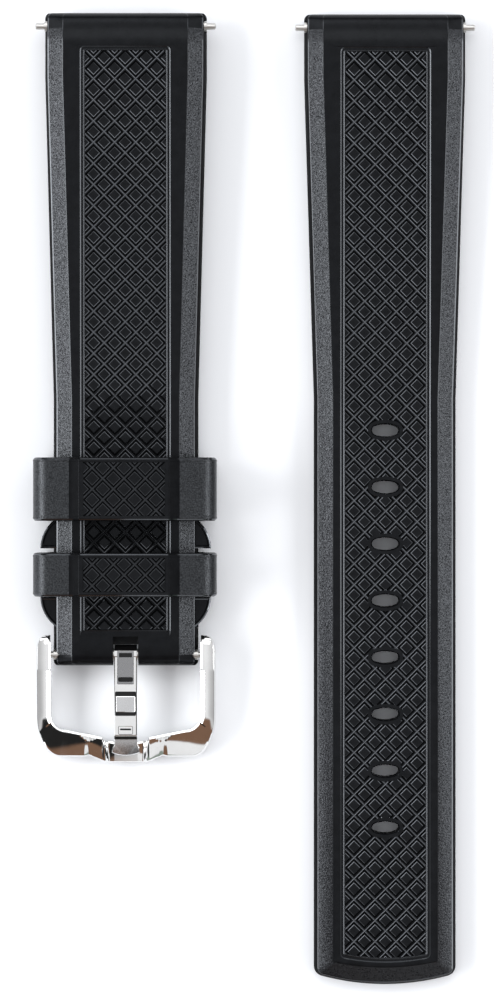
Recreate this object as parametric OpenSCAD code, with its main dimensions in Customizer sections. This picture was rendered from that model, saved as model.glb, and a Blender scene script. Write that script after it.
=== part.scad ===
// Rubber watch strap in two halves, lying side by side with the lug ends at +Y.
// The short half carries two keeper loops and a pin buckle; the long half has the holes.
// Millimetres, +Z up, origin on the table at the centre of the whole.

/* [Strap halves] */
// Width of both halves at the watch lugs
lug_w = 20; // [18:0.5:24]
// Width of the short half where it meets the buckle
buckle_w = 17.9; // [16:0.1:19]
// Width of the long half along its holes
tail_w = 17.6; // [15:0.1:18.6]
// Length of the short half, without its buckle
short_len = 80.4; // [74:0.2:90]
// Length of the long half
long_len = 120; // [112:1:135]
// Distance between the centre lines of the halves as laid down
halves_pitch = 32; // [28:1:60]
// Rubber thickness at the lug end
lug_t = 4; // [3.6:0.1:5]
// Rubber thickness of the band past the taper
band_t = 2.9; // [2.6:0.1:3.4]
// Where the taper starts, from the lug end
taper_from = 8; // [6:0.5:12]
// Where the taper ends, from the lug end
taper_to = 47.5; // [40:0.5:52]
// Width of the steep side wall seen from above
side_run = 0.45; // [0.2:0.05:0.8]
// Width of the sloping band along each edge
bevel_run = 1.95; // [1.2:0.05:2.4]
// Height that the sloping band loses towards the edge
bevel_drop = 0.7; // [0.4:0.05:1]
// Chamfer along the lower edges
under_edge = 0.3; // [0.1:0.05:0.5]

/* [Strap ends] */
// Radius of the nose round the spring bar at the lug end
lug_nose = 1.65; // [1.5:0.05:1.9]
// Radius of the nose round the spring bar at the buckle end
buckle_nose = 1.35; // [1.25:0.05:1.4]
// Length over which the top rolls down to a nose
nose_roll = 4.3; // [3.6:0.1:5]
// Radius of the rounded tail end in plan
tail_r = 30; // [20:1:60]
// Radius of the tail's two corners
tail_corner = 1.3; // [0.6:0.1:2]
// Width of the slot that the tongue swings in
slot_w = 3.1; // [3:0.1:4]
// Depth of that slot past the bar
slot_back = 2.3; // [2.2:0.05:2.8]

/* [Diamond panel] */
// Width of the panel of diamonds
panel_w = 9.9; // [9.6:0.1:10.4]
// Distance from a strap's end to the panel
panel_margin = 4.5; // [4.3:0.1:6]
// Distance between diamonds along and across the panel
diamond_pitch = 2.585; // [2.4:0.005:2.7]
// Width of each diamond plate, across its flats
diamond_w = 1.15; // [0.9:0.05:1.3]
// Depth of the panel's floor
relief = 0.3; // [0.15:0.05:0.5]
// Width of the plain strip between the panel and the line round it
line_gap = 0.35; // [0.25:0.05:0.45]
// Width of that line
line_w = 0.25; // [0.15:0.05:0.3]

/* [Adjustment holes] */
// Number of holes in the long half
hole_count = 8; // [5:1:9]
// Distance between the holes
hole_pitch = 7; // [6.5:0.1:8]
// Distance from the tail's tip to the last hole
hole_margin = 19.6; // [12:0.2:24]
// Size of a hole across the strap
hole_l = 3.35; // [3.2:0.05:4]
// Size of a hole along the strap
hole_w = 1.55; // [1.3:0.05:1.8]
// Width of the smooth rim round a hole
rim_w = 0.6; // [0.4:0.05:0.8]

/* [Keepers] */
// Width of both keepers outside
keeper_w = 22.5; // [22:0.1:26]
// Wall of a keeper at its sides
keeper_wall = 1.65; // [1.2:0.05:1.8]
// Thickness of the run that passes under the strap
keeper_floor = 1.2; // [0.9:0.05:1.6]
// Thickness of the run over the strap, at its shoulders
keeper_roof = 1.25; // [1:0.05:1.6]
// Height of the raised pad on top
keeper_pad = 0.5; // [0.3:0.05:0.8]
// Half width of that pad at its top
pad_half = 5.3; // [5.2:0.1:6]
// Length of the sliding keeper along the strap
sliding_l = 7.75; // [6:0.05:9]
// Length of the fixed keeper along the strap
fixed_l = 5.35; // [5:0.05:5.6]
// Free play of the fixed keeper between its stops
keeper_play = 0.6; // [0.3:0.05:0.8]
// Fall of a keeper's shoulders towards its sides
shoulder_slope = 0.2; // [0:0.05:0.4]
// Radius along a keeper's edges
keeper_edge = 0.4; // [0.2:0.05:0.5]
// Plain rim at both ends of a keeper's panel
keeper_rim = 0.55; // [0.45:0.05:0.8]
// Width of a diamond plate on a keeper, across its flats
keeper_diamond_w = 1.4; // [1:0.05:1.5]
// Clearance between the strap's underside and a keeper
keeper_clear = 0.1; // [0.05:0.01:0.2]
// Clearance over both halves inside a keeper
keeper_head = 0.3; // [0.1:0.05:0.8]

/* [Stops for the fixed keeper] */
// Distance from the short half's end to the lower pair of stops
stop_back = 8.5; // [8:0.1:9]
// Reach of a stop past the strap's edge
stop_reach = 1.55; // [1.1:0.05:1.7]
// Length of a stop along the strap
stop_l = 3.4; // [3:0.1:4]
// Thickness of a stop
stop_t = 1.7; // [1.2:0.1:2]

/* [Buckle] */
// Width of the buckle outside
buckle_outer = 22.2; // [22:0.1:24]
// Width of the buckle inside its arms
buckle_inner = 18.54; // [18.4:0.02:19.4]
// Distance from the bar's axis to the front of the frame
buckle_reach = 12.7; // [12.2:0.1:16]
// Reach of the middle of the front bar past its sides
cradle_reach = 0.7; // [0.2:0.1:1]
// Half width of that middle
bulge_half = 4.9; // [4.4:0.1:5.6]
// Half width of the cradle that the tongue's tip drops into
cradle_half = 2.1; // [2:0.05:2.5]
// Width of the cradle's sloping sides
cradle_side = 1.1; // [0.7:0.1:1.4]
// Width of the front bar where it leaves the inner corners
front_w = 3.4; // [3:0.1:4]
// Radius of the frame's inner corners
inner_corner = 1.9; // [1.4:0.1:2.4]
// Size of the frame's outer corners across the strap
outer_corner_x = 3; // [2:0.1:3.6]
// Size of the outer corners along the strap
outer_corner_y = 5; // [4:0.1:6]
// Radius of an ear's outer corner in plan
ear_corner = 1.2; // [0.8:0.1:1.5]
// Distance from the bar's axis to the back of an arm's ear
ear_back = 2.43; // [2:0.01:2.6]
// Half height of an arm at its ear
ear_half = 1.45; // [1.3:0.05:1.6]
// Height of the front bar
front_h = 3.3; // [2.8:0.1:3.8]
// Width of the tongue
tongue_w = 2.8; // [2.4:0.05:2.9]
// Width of the tongue's flared tip
tip_w = 3.45; // [2.9:0.05:3.8]
// Thickness of the tongue
tongue_t = 1.15; // [0.9:0.05:1.2]
// Depth of the grooves across the tongue
tongue_groove = 0.22; // [0.1:0.02:0.3]
// Distances of the two grooves from the bar
groove_at = [4.7, 7.25]; // [3.8:0.05:8.4]
// Distances of the two short slots from the bar
slot_at = [3, 9.1]; // [2.6:0.1:9.4]
// Outer radius of the tongue's eye
eye_r = 1.25; // [1.2:0.05:1.3]

/* [Spring bars] */
// Outer radius of a bar's tube
bar_r = 0.75; // [0.65:0.05:0.75]
// Wall of the tube
bar_wall = 0.2; // [0.15:0.01:0.22]
// Radius of the sprung tips
tip_r = 0.4; // [0.3:0.05:0.4]
// Reach of a tip past the strap's side, into a lug
lug_tip = 1.1; // [0.8:0.05:1.4]
// Travel of each tip
tip_travel = 1.1; // [0.9:0.05:1.1]
// Thickness of the shoulder behind a tip
shoulder_t = 0.55; // [0.5:0.05:0.7]
// Clearance of turning and sliding fits on the bars
fit = 0.05; // [0.02:0.01:0.09]
// Turns of the spring inside each tube
spring_turns = 14; // [10:1:20]
// Diameter of the spring's wire
spring_wire = 0.18; // [0.14:0.01:0.2]

/* [Hidden] */
$fn = 64;
LUG_Y = long_len / 2;
SHORT_X = -halves_pitch / 2;
LONG_X = halves_pitch / 2;
SHORT_Z = keeper_floor + keeper_clear;
EDGE_INSET = side_run + bevel_run;
HALF_PITCH = diamond_pitch / 2;
BUCKLE_AXIS_S = short_len - buckle_nose;
BUCKLE_AXIS = [SHORT_X, LUG_Y - BUCKLE_AXIS_S, SHORT_Z + buckle_nose];
SHORT_BAR = [SHORT_X, LUG_Y - lug_nose, SHORT_Z + lug_nose];
LONG_BAR = [LONG_X, LUG_Y - lug_nose, lug_nose];
// Span of the buckle's bar over its shoulders: the strap's width, less a little
BUCKLE_SPAN = buckle_w - 2 * fit;
// How far the buckle's bar tips reach into the arms
BUCKLE_BITE = tip_travel - fit;
BUCKLE_TIP = (buckle_inner - BUCKLE_SPAN) / 2 + BUCKLE_BITE;
HEAD_L = 1.5;
END_WALL = 0.4;
NECK_R = 0.3;
BAR_BORE = bar_r - bar_wall;
// The cradle in the front bar, and the underside of the tongue's tip over it
CRADLE_DIP = 1;
TIP_FLOOR = front_h - buckle_nose - SHORT_Z - CRADLE_DIP + fit;
KEEPER_CAVITY = keeper_clear + 2 * band_t + keeper_head;
KEEPER_SHOULDER_Z = keeper_floor + KEEPER_CAVITY + keeper_roof;
KEEPER_TOP = KEEPER_SHOULDER_Z + keeper_pad;
KEEPER_R = 2.1;
// Flat faces of the lower and the upper pair of stops, from the lug end
LOWER_STOP_S = short_len - stop_back;
UPPER_STOP_S = LOWER_STOP_S - fixed_l - keeper_play;
FIXED_S = LOWER_STOP_S - 0.1 - fixed_l / 2;
SLIDING_S = UPPER_STOP_S - stop_l - sliding_l / 2;
STOP_Z = under_edge + 0.1;
OVER = 1;

RUBBER = [0.13, 0.13, 0.14];
STEEL = [0.78, 0.78, 0.8];

// How far along the taper a place lies: 0 at the lugs, 1 past the taper
function taper(s) = min(1, max(0, (s - taper_from) / (taper_to - taper_from)));

// Half width of a half and height of its top, at a distance s from the lug end
function half_w(s, end_w) = (lug_w + (end_w - lug_w) * taper(s)) / 2;
function top_z(s) = lug_t + (band_t - lug_t) * taper(s);

// One side of a square-ended half's outline, moved inwards by inset
function square_side(end_w, len, inset) =
    [for (s = [-OVER, taper_from, taper_to, len + OVER]) [half_w(s, end_w) - inset, s]];

// One side of the tail's outline, moved inwards by inset: the edge, a corner and half the end arc
function tail_side(end_w, len, inset) =
    let (
        hw = end_w / 2,
        corner_x = hw - tail_corner,
        arc_s = len - tail_r,
        corner_s = arc_s + sqrt(pow(tail_r - tail_corner, 2) - pow(corner_x, 2)),
        turn = acos(corner_x / (tail_r - tail_corner)),
        sharp = [hw - inset, arc_s + sqrt(pow(tail_r - inset, 2) - pow(hw - inset, 2))],
        end_x = inset < tail_corner ? corner_x + (tail_corner - inset) * cos(turn) : sharp[0],
        end_turn = acos(end_x / (tail_r - inset))
    )
    concat(
        [for (s = [-OVER, taper_from, taper_to]) [half_w(s, end_w) - inset, s]],
        [for (i = [0:4]) let (a = turn * i / 4)
            inset < tail_corner
                ? [corner_x + (tail_corner - inset) * cos(a), corner_s + (tail_corner - inset) * sin(a)]
                : sharp],
        [for (i = [1:6]) let (a = end_turn + (90 - end_turn) * i / 6)
            [(tail_r - inset) * cos(a), arc_s + (tail_r - inset) * sin(a)]]
    );

// A ring of points round a half: one side, then the other side mirrored, at drop below the top
// or, with a height given, at that height
function ring(side, drop, height) =
    let (n = len(side))
    concat(
        [for (i = [0:n - 1]) [side[i][0], -side[i][1], height == undef ? top_z(side[i][1]) - drop : height]],
        [for (i = [n - 1:-1:0]) [-side[i][0], -side[i][1], height == undef ? top_z(side[i][1]) - drop : height]]
    );

// Triangles of the wall that joins a stack of rings, each of n points
function wall_faces(n, levels) =
    [for (l = [0:levels - 2], i = [0:n - 1]) let (a = l * n + i, b = l * n + (i + 1) % n)
        each [[a, b, b + n], [a, b + n, a + n]]];

// The rubber body with its steep sides and sloping bands, skinned over four rings
module bevelled_band(rings) {
    n = len(rings[0]);
    levels = len(rings);
    half = n / 2;
    points = [for (r = rings) each r];
    top = (levels - 1) * n;
    polyhedron(points, concat(
        wall_faces(n, levels),
        [for (i = [0:half - 2]) [i, n - 1 - i, n - 2 - i, i + 1]],
        [for (i = [0:half - 2]) [top + i, top + i + 1, top + n - 2 - i, top + n - 1 - i]]
    ), convexity = 6);
}

// Side view of an end: a round nose about the bar, and an arc from it up to the flat top
module nose_profile(r, top) {
    rise = top - r;
    roll = nose_roll - r;
    big = (roll * roll + rise * rise - r * r) / (2 * (rise - r));
    toward = [-roll, big - rise] / norm([roll, big - rise]);
    touch = [r, r] + r * toward;
    translate([r, r])
        circle(r);
    intersection() {
        translate([nose_roll, top - big])
            circle(big, $fn = 360);
        polygon([touch, [r, r], [r, 0], [nose_roll, 0], [nose_roll, top + OVER], [touch[0], top + OVER]]);
    }
}

// Everything under the side view, as wide as the strap
module along_x(width) {
    translate([width / 2, 0, 0])
        rotate([90, 0, -90])
            linear_extrude(width)
                children();
}

// A four-arc oval, length across the strap and width along it
module oval(l, w) {
    a = l / 2;
    b = w / 2;
    end_r = 0.62 * b;
    side_r = (a * a + b * b - 2 * a * end_r) / (2 * (b - end_r));
    meet = (a - end_r) * side_r / (side_r - end_r);
    for (side = [-1, 1])
        translate([side * (a - end_r), 0])
            circle(end_r);
    intersection() {
        translate([0, side_r - b])
            circle(side_r, $fn = 180);
        translate([0, b - side_r])
            circle(side_r, $fn = 180);
        square([2 * meet, w], center = true);
    }
}

// Plates of a diamond pattern, in staggered rows from from_y to to_y
module diamonds(from_y, to_y, plate, shift) {
    columns = ceil(panel_w / diamond_pitch / 2);
    rows = floor((to_y - from_y) / HALF_PITCH);
    for (j = [0:rows], i = [-columns:columns])
        let (x = (i + (j % 2 == 0 ? shift : 0.5 - shift)) * diamond_pitch)
            if (abs(x) < panel_w / 2 + plate / 2)
                translate([x, from_y + j * HALF_PITCH])
                    rotate(45)
                        square(plate, center = true);
}

// Side view of what lies more than depth below the sloping top
module under_top(depth) {
    polygon([
        [-OVER, -2 * OVER], [long_len, -2 * OVER], [long_len, band_t - depth],
        [taper_to, band_t - depth], [taper_from, lug_t - depth], [-OVER, lug_t - depth]
    ]);
}

// A recess of one depth below the sloping top, with the plan of its children
module recess() {
    difference() {
        translate([0, 0, band_t - relief - OVER])
            linear_extrude(lug_t - band_t + relief + 2 * OVER)
                children();
        along_x(lug_w + 2 * OVER)
            under_top(relief);
    }
}

// Sunken floor of a half's panel between its diamonds; children stay plain
module panel(to_s) {
    first = panel_margin + diamond_w;
    recess()
        difference() {
            translate([-panel_w / 2, -to_s])
                square([panel_w, to_s - panel_margin]);
            mirror([0, 1])
                diamonds(first, to_s - diamond_w / 2, diamond_w, 0);
            children();
        }
}

// Line round the panel
module panel_line(to_s) {
    inner = panel_w + 2 * line_gap;
    from = panel_margin - line_gap;
    to = to_s + line_gap;
    recess()
        difference() {
            translate([-inner / 2 - line_w, -to - line_w])
                square([inner + 2 * line_w, to - from + 2 * line_w]);
            translate([-inner / 2, -to])
                square([inner, to - from]);
        }
}

// A stop beside the strap: its flat face at s, its curved back towards the band
module stop(s, facing) {
    r = (stop_reach * stop_reach + stop_l * stop_l) / (2 * stop_reach);
    edge = half_w(s, buckle_w);
    for (side = [-1, 1])
        translate([0, -s, STOP_Z])
            linear_extrude(stop_t)
                intersection() {
                    translate([side * (edge + stop_reach - r), 0])
                        circle(r, $fn = 180);
                    translate([side > 0 ? edge - OVER : -edge - stop_reach, facing > 0 ? 0 : -stop_l])
                        square([stop_reach + OVER, stop_l]);
                }
}

module short_body() {
    rings = [
        ring(square_side(buckle_w, short_len, under_edge), 0, 0),
        ring(square_side(buckle_w, short_len, 0), 0, under_edge),
        ring(square_side(buckle_w, short_len, side_run), bevel_drop),
        ring(square_side(buckle_w, short_len, EDGE_INSET), 0)
    ];
    intersection() {
        bevelled_band(rings);
        along_x(lug_w + 2 * OVER)
            union() {
                nose_profile(lug_nose, lug_t);
                translate([short_len, 0])
                    mirror([1, 0])
                        nose_profile(buckle_nose, band_t);
                translate([nose_roll, 0])
                    square([short_len - 2 * nose_roll, lug_t + OVER]);
            }
    }
}

module short_strap() color(RUBBER) translate([SHORT_X, LUG_Y, SHORT_Z]) {
    panel_end = short_len - panel_margin;
    difference() {
        union() {
            short_body();
            stop(UPPER_STOP_S, 1);
            stop(LOWER_STOP_S, -1);
        }
        panel(panel_end);
        panel_line(panel_end);
        translate([0, -lug_nose, lug_nose])
            rotate([0, 90, 0])
                cylinder(r = bar_r + fit, h = lug_w + 2 * OVER, center = true);
        translate([0, -BUCKLE_AXIS_S, buckle_nose])
            rotate([0, 90, 0])
                cylinder(r = bar_r + fit, h = lug_w + 2 * OVER, center = true);
        translate([-slot_w / 2, -short_len - OVER, -OVER])
            cube([slot_w, buckle_nose + slot_back + OVER, lug_t + 2 * OVER]);
    }
}

module long_strap() color(RUBBER) translate([LONG_X, LUG_Y, 0]) {
    panel_end = long_len - EDGE_INSET - 1.2;
    rings = [
        ring(tail_side(tail_w, long_len, under_edge), 0, 0),
        ring(tail_side(tail_w, long_len, 0), 0, under_edge),
        ring(tail_side(tail_w, long_len, side_run), bevel_drop),
        ring(tail_side(tail_w, long_len, EDGE_INSET), 0)
    ];
    hole_s = [for (i = [0:hole_count - 1]) long_len - hole_margin - i * hole_pitch];
    difference() {
        intersection() {
            bevelled_band(rings);
            along_x(lug_w + 2 * OVER)
                union() {
                    nose_profile(lug_nose, lug_t);
                    translate([nose_roll, 0])
                        square([long_len - nose_roll + OVER, lug_t + OVER]);
                }
        }
        panel(panel_end)
            for (s = hole_s)
                translate([0, -s])
                    oval(hole_l + 2 * rim_w, hole_w + 2 * rim_w);
        panel_line(panel_end);
        for (s = hole_s)
            translate([0, -s, -OVER])
                linear_extrude(lug_t + 2 * OVER)
                    oval(hole_l, hole_w);
        translate([0, -lug_nose, lug_nose])
            rotate([0, 90, 0])
                cylinder(r = bar_r + fit, h = lug_w + 2 * OVER, center = true);
    }
}

// Outline of a rectangle with rounded corners
module rounded_rect(w, h, r) {
    square([w - 2 * r, h], center = true);
    square([w, h - 2 * r], center = true);
    for (x = [-1, 1], y = [-1, 1])
        translate([x * (w / 2 - r), y * (h / 2 - r)])
            circle(r);
}

// A keeper seen along the strap: floor, sides, sloping shoulders and a raised pad
module keeper_profile() {
    shoulder_x = keeper_w / 2 - KEEPER_R;
    edge_z = KEEPER_SHOULDER_Z - shoulder_slope;
    difference() {
        union() {
            translate([0, edge_z / 2])
                rounded_rect(keeper_w, edge_z, KEEPER_R);
            polygon([
                [-shoulder_x, edge_z - OVER], [shoulder_x, edge_z - OVER],
                [shoulder_x, edge_z], [pad_half + 1.2, KEEPER_SHOULDER_Z],
                [pad_half + 0.3, KEEPER_TOP - 0.1], [pad_half, KEEPER_TOP],
                [-pad_half, KEEPER_TOP], [-pad_half - 0.3, KEEPER_TOP - 0.1],
                [-pad_half - 1.2, KEEPER_SHOULDER_Z], [-shoulder_x, edge_z]
            ]);
        }
        translate([0, keeper_floor + KEEPER_CAVITY / 2])
            rounded_rect(keeper_w - 2 * keeper_wall, KEEPER_CAVITY, 0.8);
    }
}

// A keeper loop centred at s, with a panel of diamonds on its pad
module keeper(l, s, shift) {
    panel_l = l - 2 * keeper_rim;
    rows = 2 * ceil(panel_l / diamond_pitch / 2);
    translate([SHORT_X, LUG_Y - s, 0])
        difference() {
            intersection() {
                translate([0, l / 2, 0])
                    rotate([90, 0, 0])
                        linear_extrude(l)
                            keeper_profile();
                translate([0, l / 2, KEEPER_TOP / 2])
                    along_x(keeper_w + 2 * OVER)
                        translate([l / 2, 0])
                            rounded_rect(l, KEEPER_TOP, keeper_edge);
            }
            translate([0, 0, KEEPER_TOP - relief])
                linear_extrude(relief + OVER)
                    difference() {
                        square([panel_w, panel_l], center = true);
                        diamonds(-rows * HALF_PITCH, panel_l / 2 + HALF_PITCH, keeper_diamond_w, shift);
                    }
        }
}

module sliding_keeper() color(RUBBER) keeper(sliding_l, SLIDING_S, 0);

module fixed_keeper() color(RUBBER) keeper(fixed_l, FIXED_S, 0.5);

// Smooth step from 0 to 1 as x goes from a to b
function ease(x, a, b) = let (t = min(1, max(0, (x - a) / (b - a)))) t * t * (3 - 2 * t);

// A section of the frame from an inner and an outer point in plan, y from the bar's axis:
// [inner, outer, bottom z, top z], sinking towards the front bar
function frame_section(inner, outer, squeeze = 1, dip = 0) =
    let (
        forward = min(1, max(0, -(inner[1] + outer[1]) / 2 / (buckle_reach - 3))),
        middle = (front_h / 2 - buckle_nose - SHORT_Z) * forward,
        half = (ear_half + (front_h / 2 - ear_half) * forward) * squeeze
    )
    [inner, outer, middle - half, middle + half - dip];

// Sections of one side of the frame: ear, arm, corner, then the front bar to its middle
function frame_side() =
    let (
        x_in = buckle_inner / 2,
        x_out = buckle_outer / 2,
        bar_x = x_in - inner_corner,
        bar_y = front_w - buckle_reach,
        bend_y = bar_y + inner_corner,
        lip = cradle_half + cradle_side,
        stations = concat(
            [bulge_half + 1.1],
            [for (i = [0:3]) bulge_half + (lip - bulge_half) * i / 3],
            [cradle_half + cradle_side / 2, cradle_half, 0]
        )
    )
    concat(
        [for (i = [0:4]) let (a = 90 * i / 4, y = ear_back - (ear_back - 0.4) * (1 - cos(a)))
            frame_section([x_in, y], [x_out - ear_corner * (1 - sin(a)), y], 0.35 + 0.65 * sin(a))],
        [frame_section([x_in, bend_y / 2], [x_out, bend_y / 2])],
        [for (i = [0:5]) let (a = 90 * i / 5)
            frame_section(
                [x_in - inner_corner * (1 - cos(a)), bend_y - inner_corner * sin(a)],
                [x_out - outer_corner_x * (1 - cos(a)), outer_corner_y * (1 - sin(a)) - buckle_reach]
            )],
        [for (x = stations)
            frame_section(
                [x, bar_y - 0.2 * (bar_x - max(x, 1.5))],
                [x, -buckle_reach - cradle_reach * (1 - ease(x, lip, bulge_half))],
                1, CRADLE_DIP * (1 - ease(x, cradle_half, lip))
            )]
    );

// Rounded outline of a section, from 0 to 1 across and from 0 to 1 upwards
FRAME_OUTLINE = [
    [0, 0.15], [0.08, 0.04], [0.22, 0], [0.75, 0], [0.93, 0.08], [1, 0.25],
    [1, 0.6], [0.9, 0.84], [0.7, 0.96], [0.3, 1], [0.08, 0.95], [0, 0.8]
];

// A closed skin through equal rings of points, with flat ends
module skin(rings) {
    n = len(rings[0]);
    last = len(rings) - 1;
    polyhedron([for (r = rings) each r], concat(
        [[for (i = [0:n - 1]) n - 1 - i]],
        wall_faces(n, last + 1),
        [[for (i = [0:n - 1]) last * n + i]]
    ), convexity = 6);
}

module buckle_frame() color(STEEL) translate(BUCKLE_AXIS) {
    side = frame_side();
    n = len(side);
    path = [for (i = [1 - n:n - 1]) let (s = side[n - 1 - abs(i)], m = i < 0 ? -1 : 1)
        [for (p = FRAME_OUTLINE)
            let (q = s[0] + p[0] * (s[1] - s[0]))
            [m * q[0], q[1], s[2] + p[1] * (s[3] - s[2])]]];
    difference() {
        skin(path);
        for (turn = [90, -90])
            rotate([0, turn, 0])
                cylinder(r = tip_r + fit, h = buckle_inner / 2 + BUCKLE_BITE + 0.2);
    }
}

// Side view of the tongue's arm, with a tip that drops into the cradle
module tongue_side(tip) {
    top = eye_r - 0.03;
    under = eye_r - tongue_t;
    difference() {
        polygon([
            [0, top], [tip - 2.4, top], [tip - 2.1, top - 0.45], [tip - 0.2, top - 0.6],
            [tip, top - 0.95], [tip - 0.2, TIP_FLOOR], [tip - 2.3, TIP_FLOOR], [tip - 2.9, under], [0, under]
        ]);
        for (d = groove_at)
            translate([d, top])
                square([0.5, 2 * tongue_groove], center = true);
    }
}

module buckle_tongue() color(STEEL) translate(BUCKLE_AXIS) {
    tip = buckle_reach - 0.25;
    difference() {
        union() {
            rotate([0, 90, 0])
                cylinder(r = eye_r, h = tongue_w, center = true);
            intersection() {
                along_x(tip_w)
                    tongue_side(tip);
                translate([0, 0, -buckle_reach])
                    linear_extrude(2 * buckle_reach)
                        union() {
                            translate([-tongue_w / 2, -tip + 1])
                                square([tongue_w, tip + eye_r]);
                            intersection() {
                                translate([0, -tip + 2.2])
                                    circle(2.2);
                                translate([-tip_w / 2, -tip])
                                    square([tip_w, 2]);
                            }
                        }
            }
        }
        rotate([0, 90, 0])
            cylinder(r = bar_r + fit, h = tip_w, center = true);
        for (slot = [[slot_at[0], 0.55, 1.6], [slot_at[1], 0.2, 1.4]])
            translate([0, -slot[0], eye_r])
                cube([slot[2], slot[1], 2 * tongue_groove], center = true);
    }
}

function tube_half(span) = span / 2 - shoulder_t - tip_travel - fit;

// Turns a profile drawn as [radius, place along the bar] about the bar's axis
module turned_on_x(points) {
    rotate([0, 90, 0])
        rotate_extrude()
            polygon(points);
}

// Tube of a spring bar, drawn in at both ends to hold the heads of its tips
module bar_tube(span) {
    half = tube_half(span);
    neck = NECK_R + fit;
    inside = half - END_WALL;
    turned_on_x([
        [neck, -half], [bar_r - 0.1, -half], [bar_r, -half + 0.1], [bar_r, half - 0.1],
        [bar_r - 0.1, half], [neck, half], [neck, inside], [BAR_BORE, inside],
        [BAR_BORE, -inside], [neck, -inside]
    ]);
}

// One sprung tip: a head inside the tube, a neck, a shoulder and the tip itself
module bar_pin(span, tip_l, side) {
    head = tube_half(span) - END_WALL - 0.02;
    shoulder = span / 2 - shoulder_t;
    end = span / 2 + tip_l;
    mirror([side < 0 ? 1 : 0, 0, 0])
        turned_on_x([
            [0, head - HEAD_L], [BAR_BORE - fit, head - HEAD_L], [BAR_BORE - fit, head],
            [NECK_R, head], [NECK_R, shoulder], [bar_r - 0.1, shoulder], [bar_r - 0.1, span / 2],
            [tip_r, span / 2], [tip_r, end - 0.1], [tip_r - 0.1, end], [0, end]
        ]);
}

// Spring between the two heads, one wound wire
module bar_spring(span) {
    half = tube_half(span) - END_WALL - HEAD_L - 0.04;
    wire = spring_wire / 2;
    mean = BAR_BORE - fit - wire;
    steps = spring_turns * 8;
    skin([for (i = [0:steps]) let (a = 45 * i, x = (half - wire) * (2 * i / steps - 1))
        [for (k = [0:5]) let (b = -60 * k, r = mean + wire * cos(b))
            [x + wire * sin(b), r * cos(a), r * sin(a)]]]);
}

module short_bar_tube() color(STEEL) translate(SHORT_BAR) bar_tube(lug_w);

module short_bar_spring() color(STEEL) translate(SHORT_BAR) bar_spring(lug_w);

module short_bar_pin_left() color(STEEL) translate(SHORT_BAR) bar_pin(lug_w, lug_tip, -1);

module short_bar_pin_right() color(STEEL) translate(SHORT_BAR) bar_pin(lug_w, lug_tip, 1);

module long_bar_tube() color(STEEL) translate(LONG_BAR) bar_tube(lug_w);

module long_bar_spring() color(STEEL) translate(LONG_BAR) bar_spring(lug_w);

module long_bar_pin_left() color(STEEL) translate(LONG_BAR) bar_pin(lug_w, lug_tip, -1);

module long_bar_pin_right() color(STEEL) translate(LONG_BAR) bar_pin(lug_w, lug_tip, 1);

module buckle_bar_tube() color(STEEL) translate(BUCKLE_AXIS) bar_tube(BUCKLE_SPAN);

module buckle_bar_spring() color(STEEL) translate(BUCKLE_AXIS) bar_spring(BUCKLE_SPAN);

module buckle_bar_pin_left() color(STEEL) translate(BUCKLE_AXIS) bar_pin(BUCKLE_SPAN, BUCKLE_TIP, -1);

module buckle_bar_pin_right() color(STEEL) translate(BUCKLE_AXIS) bar_pin(BUCKLE_SPAN, BUCKLE_TIP, 1);

short_strap();
long_strap();
fixed_keeper();
sliding_keeper();
buckle_frame();
buckle_tongue();
short_bar_tube();
short_bar_spring();
short_bar_pin_left();
short_bar_pin_right();
long_bar_tube();
long_bar_spring();
long_bar_pin_left();
long_bar_pin_right();
buckle_bar_tube();
buckle_bar_spring();
buckle_bar_pin_left();
buckle_bar_pin_right();
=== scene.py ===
"""The looks of a black rubber watch strap in two halves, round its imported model.

Pieces are modelled in millimetres in strap coordinates: x across the strap, s along it from the lug
end, z up from its underside. A place function turns these into metres in the frame.
"""
import math

import bmesh
import bpy
import numpy as np
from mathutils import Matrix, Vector
from mathutils.geometry import delaunay_2d_cdt


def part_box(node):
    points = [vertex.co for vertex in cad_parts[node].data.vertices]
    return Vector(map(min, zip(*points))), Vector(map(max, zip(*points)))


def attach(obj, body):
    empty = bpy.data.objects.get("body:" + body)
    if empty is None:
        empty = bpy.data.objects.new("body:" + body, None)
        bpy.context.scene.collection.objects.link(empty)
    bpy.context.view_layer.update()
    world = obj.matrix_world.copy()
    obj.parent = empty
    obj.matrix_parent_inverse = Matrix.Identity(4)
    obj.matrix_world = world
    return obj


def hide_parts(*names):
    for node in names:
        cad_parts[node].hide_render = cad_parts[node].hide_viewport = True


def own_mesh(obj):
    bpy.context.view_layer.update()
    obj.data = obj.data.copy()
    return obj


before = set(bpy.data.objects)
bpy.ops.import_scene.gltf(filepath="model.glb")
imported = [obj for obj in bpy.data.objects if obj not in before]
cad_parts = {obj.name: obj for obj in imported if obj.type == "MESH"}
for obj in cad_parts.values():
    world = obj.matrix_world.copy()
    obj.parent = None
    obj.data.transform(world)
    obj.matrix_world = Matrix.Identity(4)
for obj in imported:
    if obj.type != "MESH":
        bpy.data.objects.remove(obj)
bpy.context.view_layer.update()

MM = 0.001
ROOT_2 = math.sqrt(2)

# Small values: the distance at which points merge, in metres, the steps of a fill and the shortest line, in
# millimetres, and the least divisor
MERGE = 2e-6
FILL_STEP = 1e-6
SHORTEST = 1e-4
TINY = 1e-12

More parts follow.
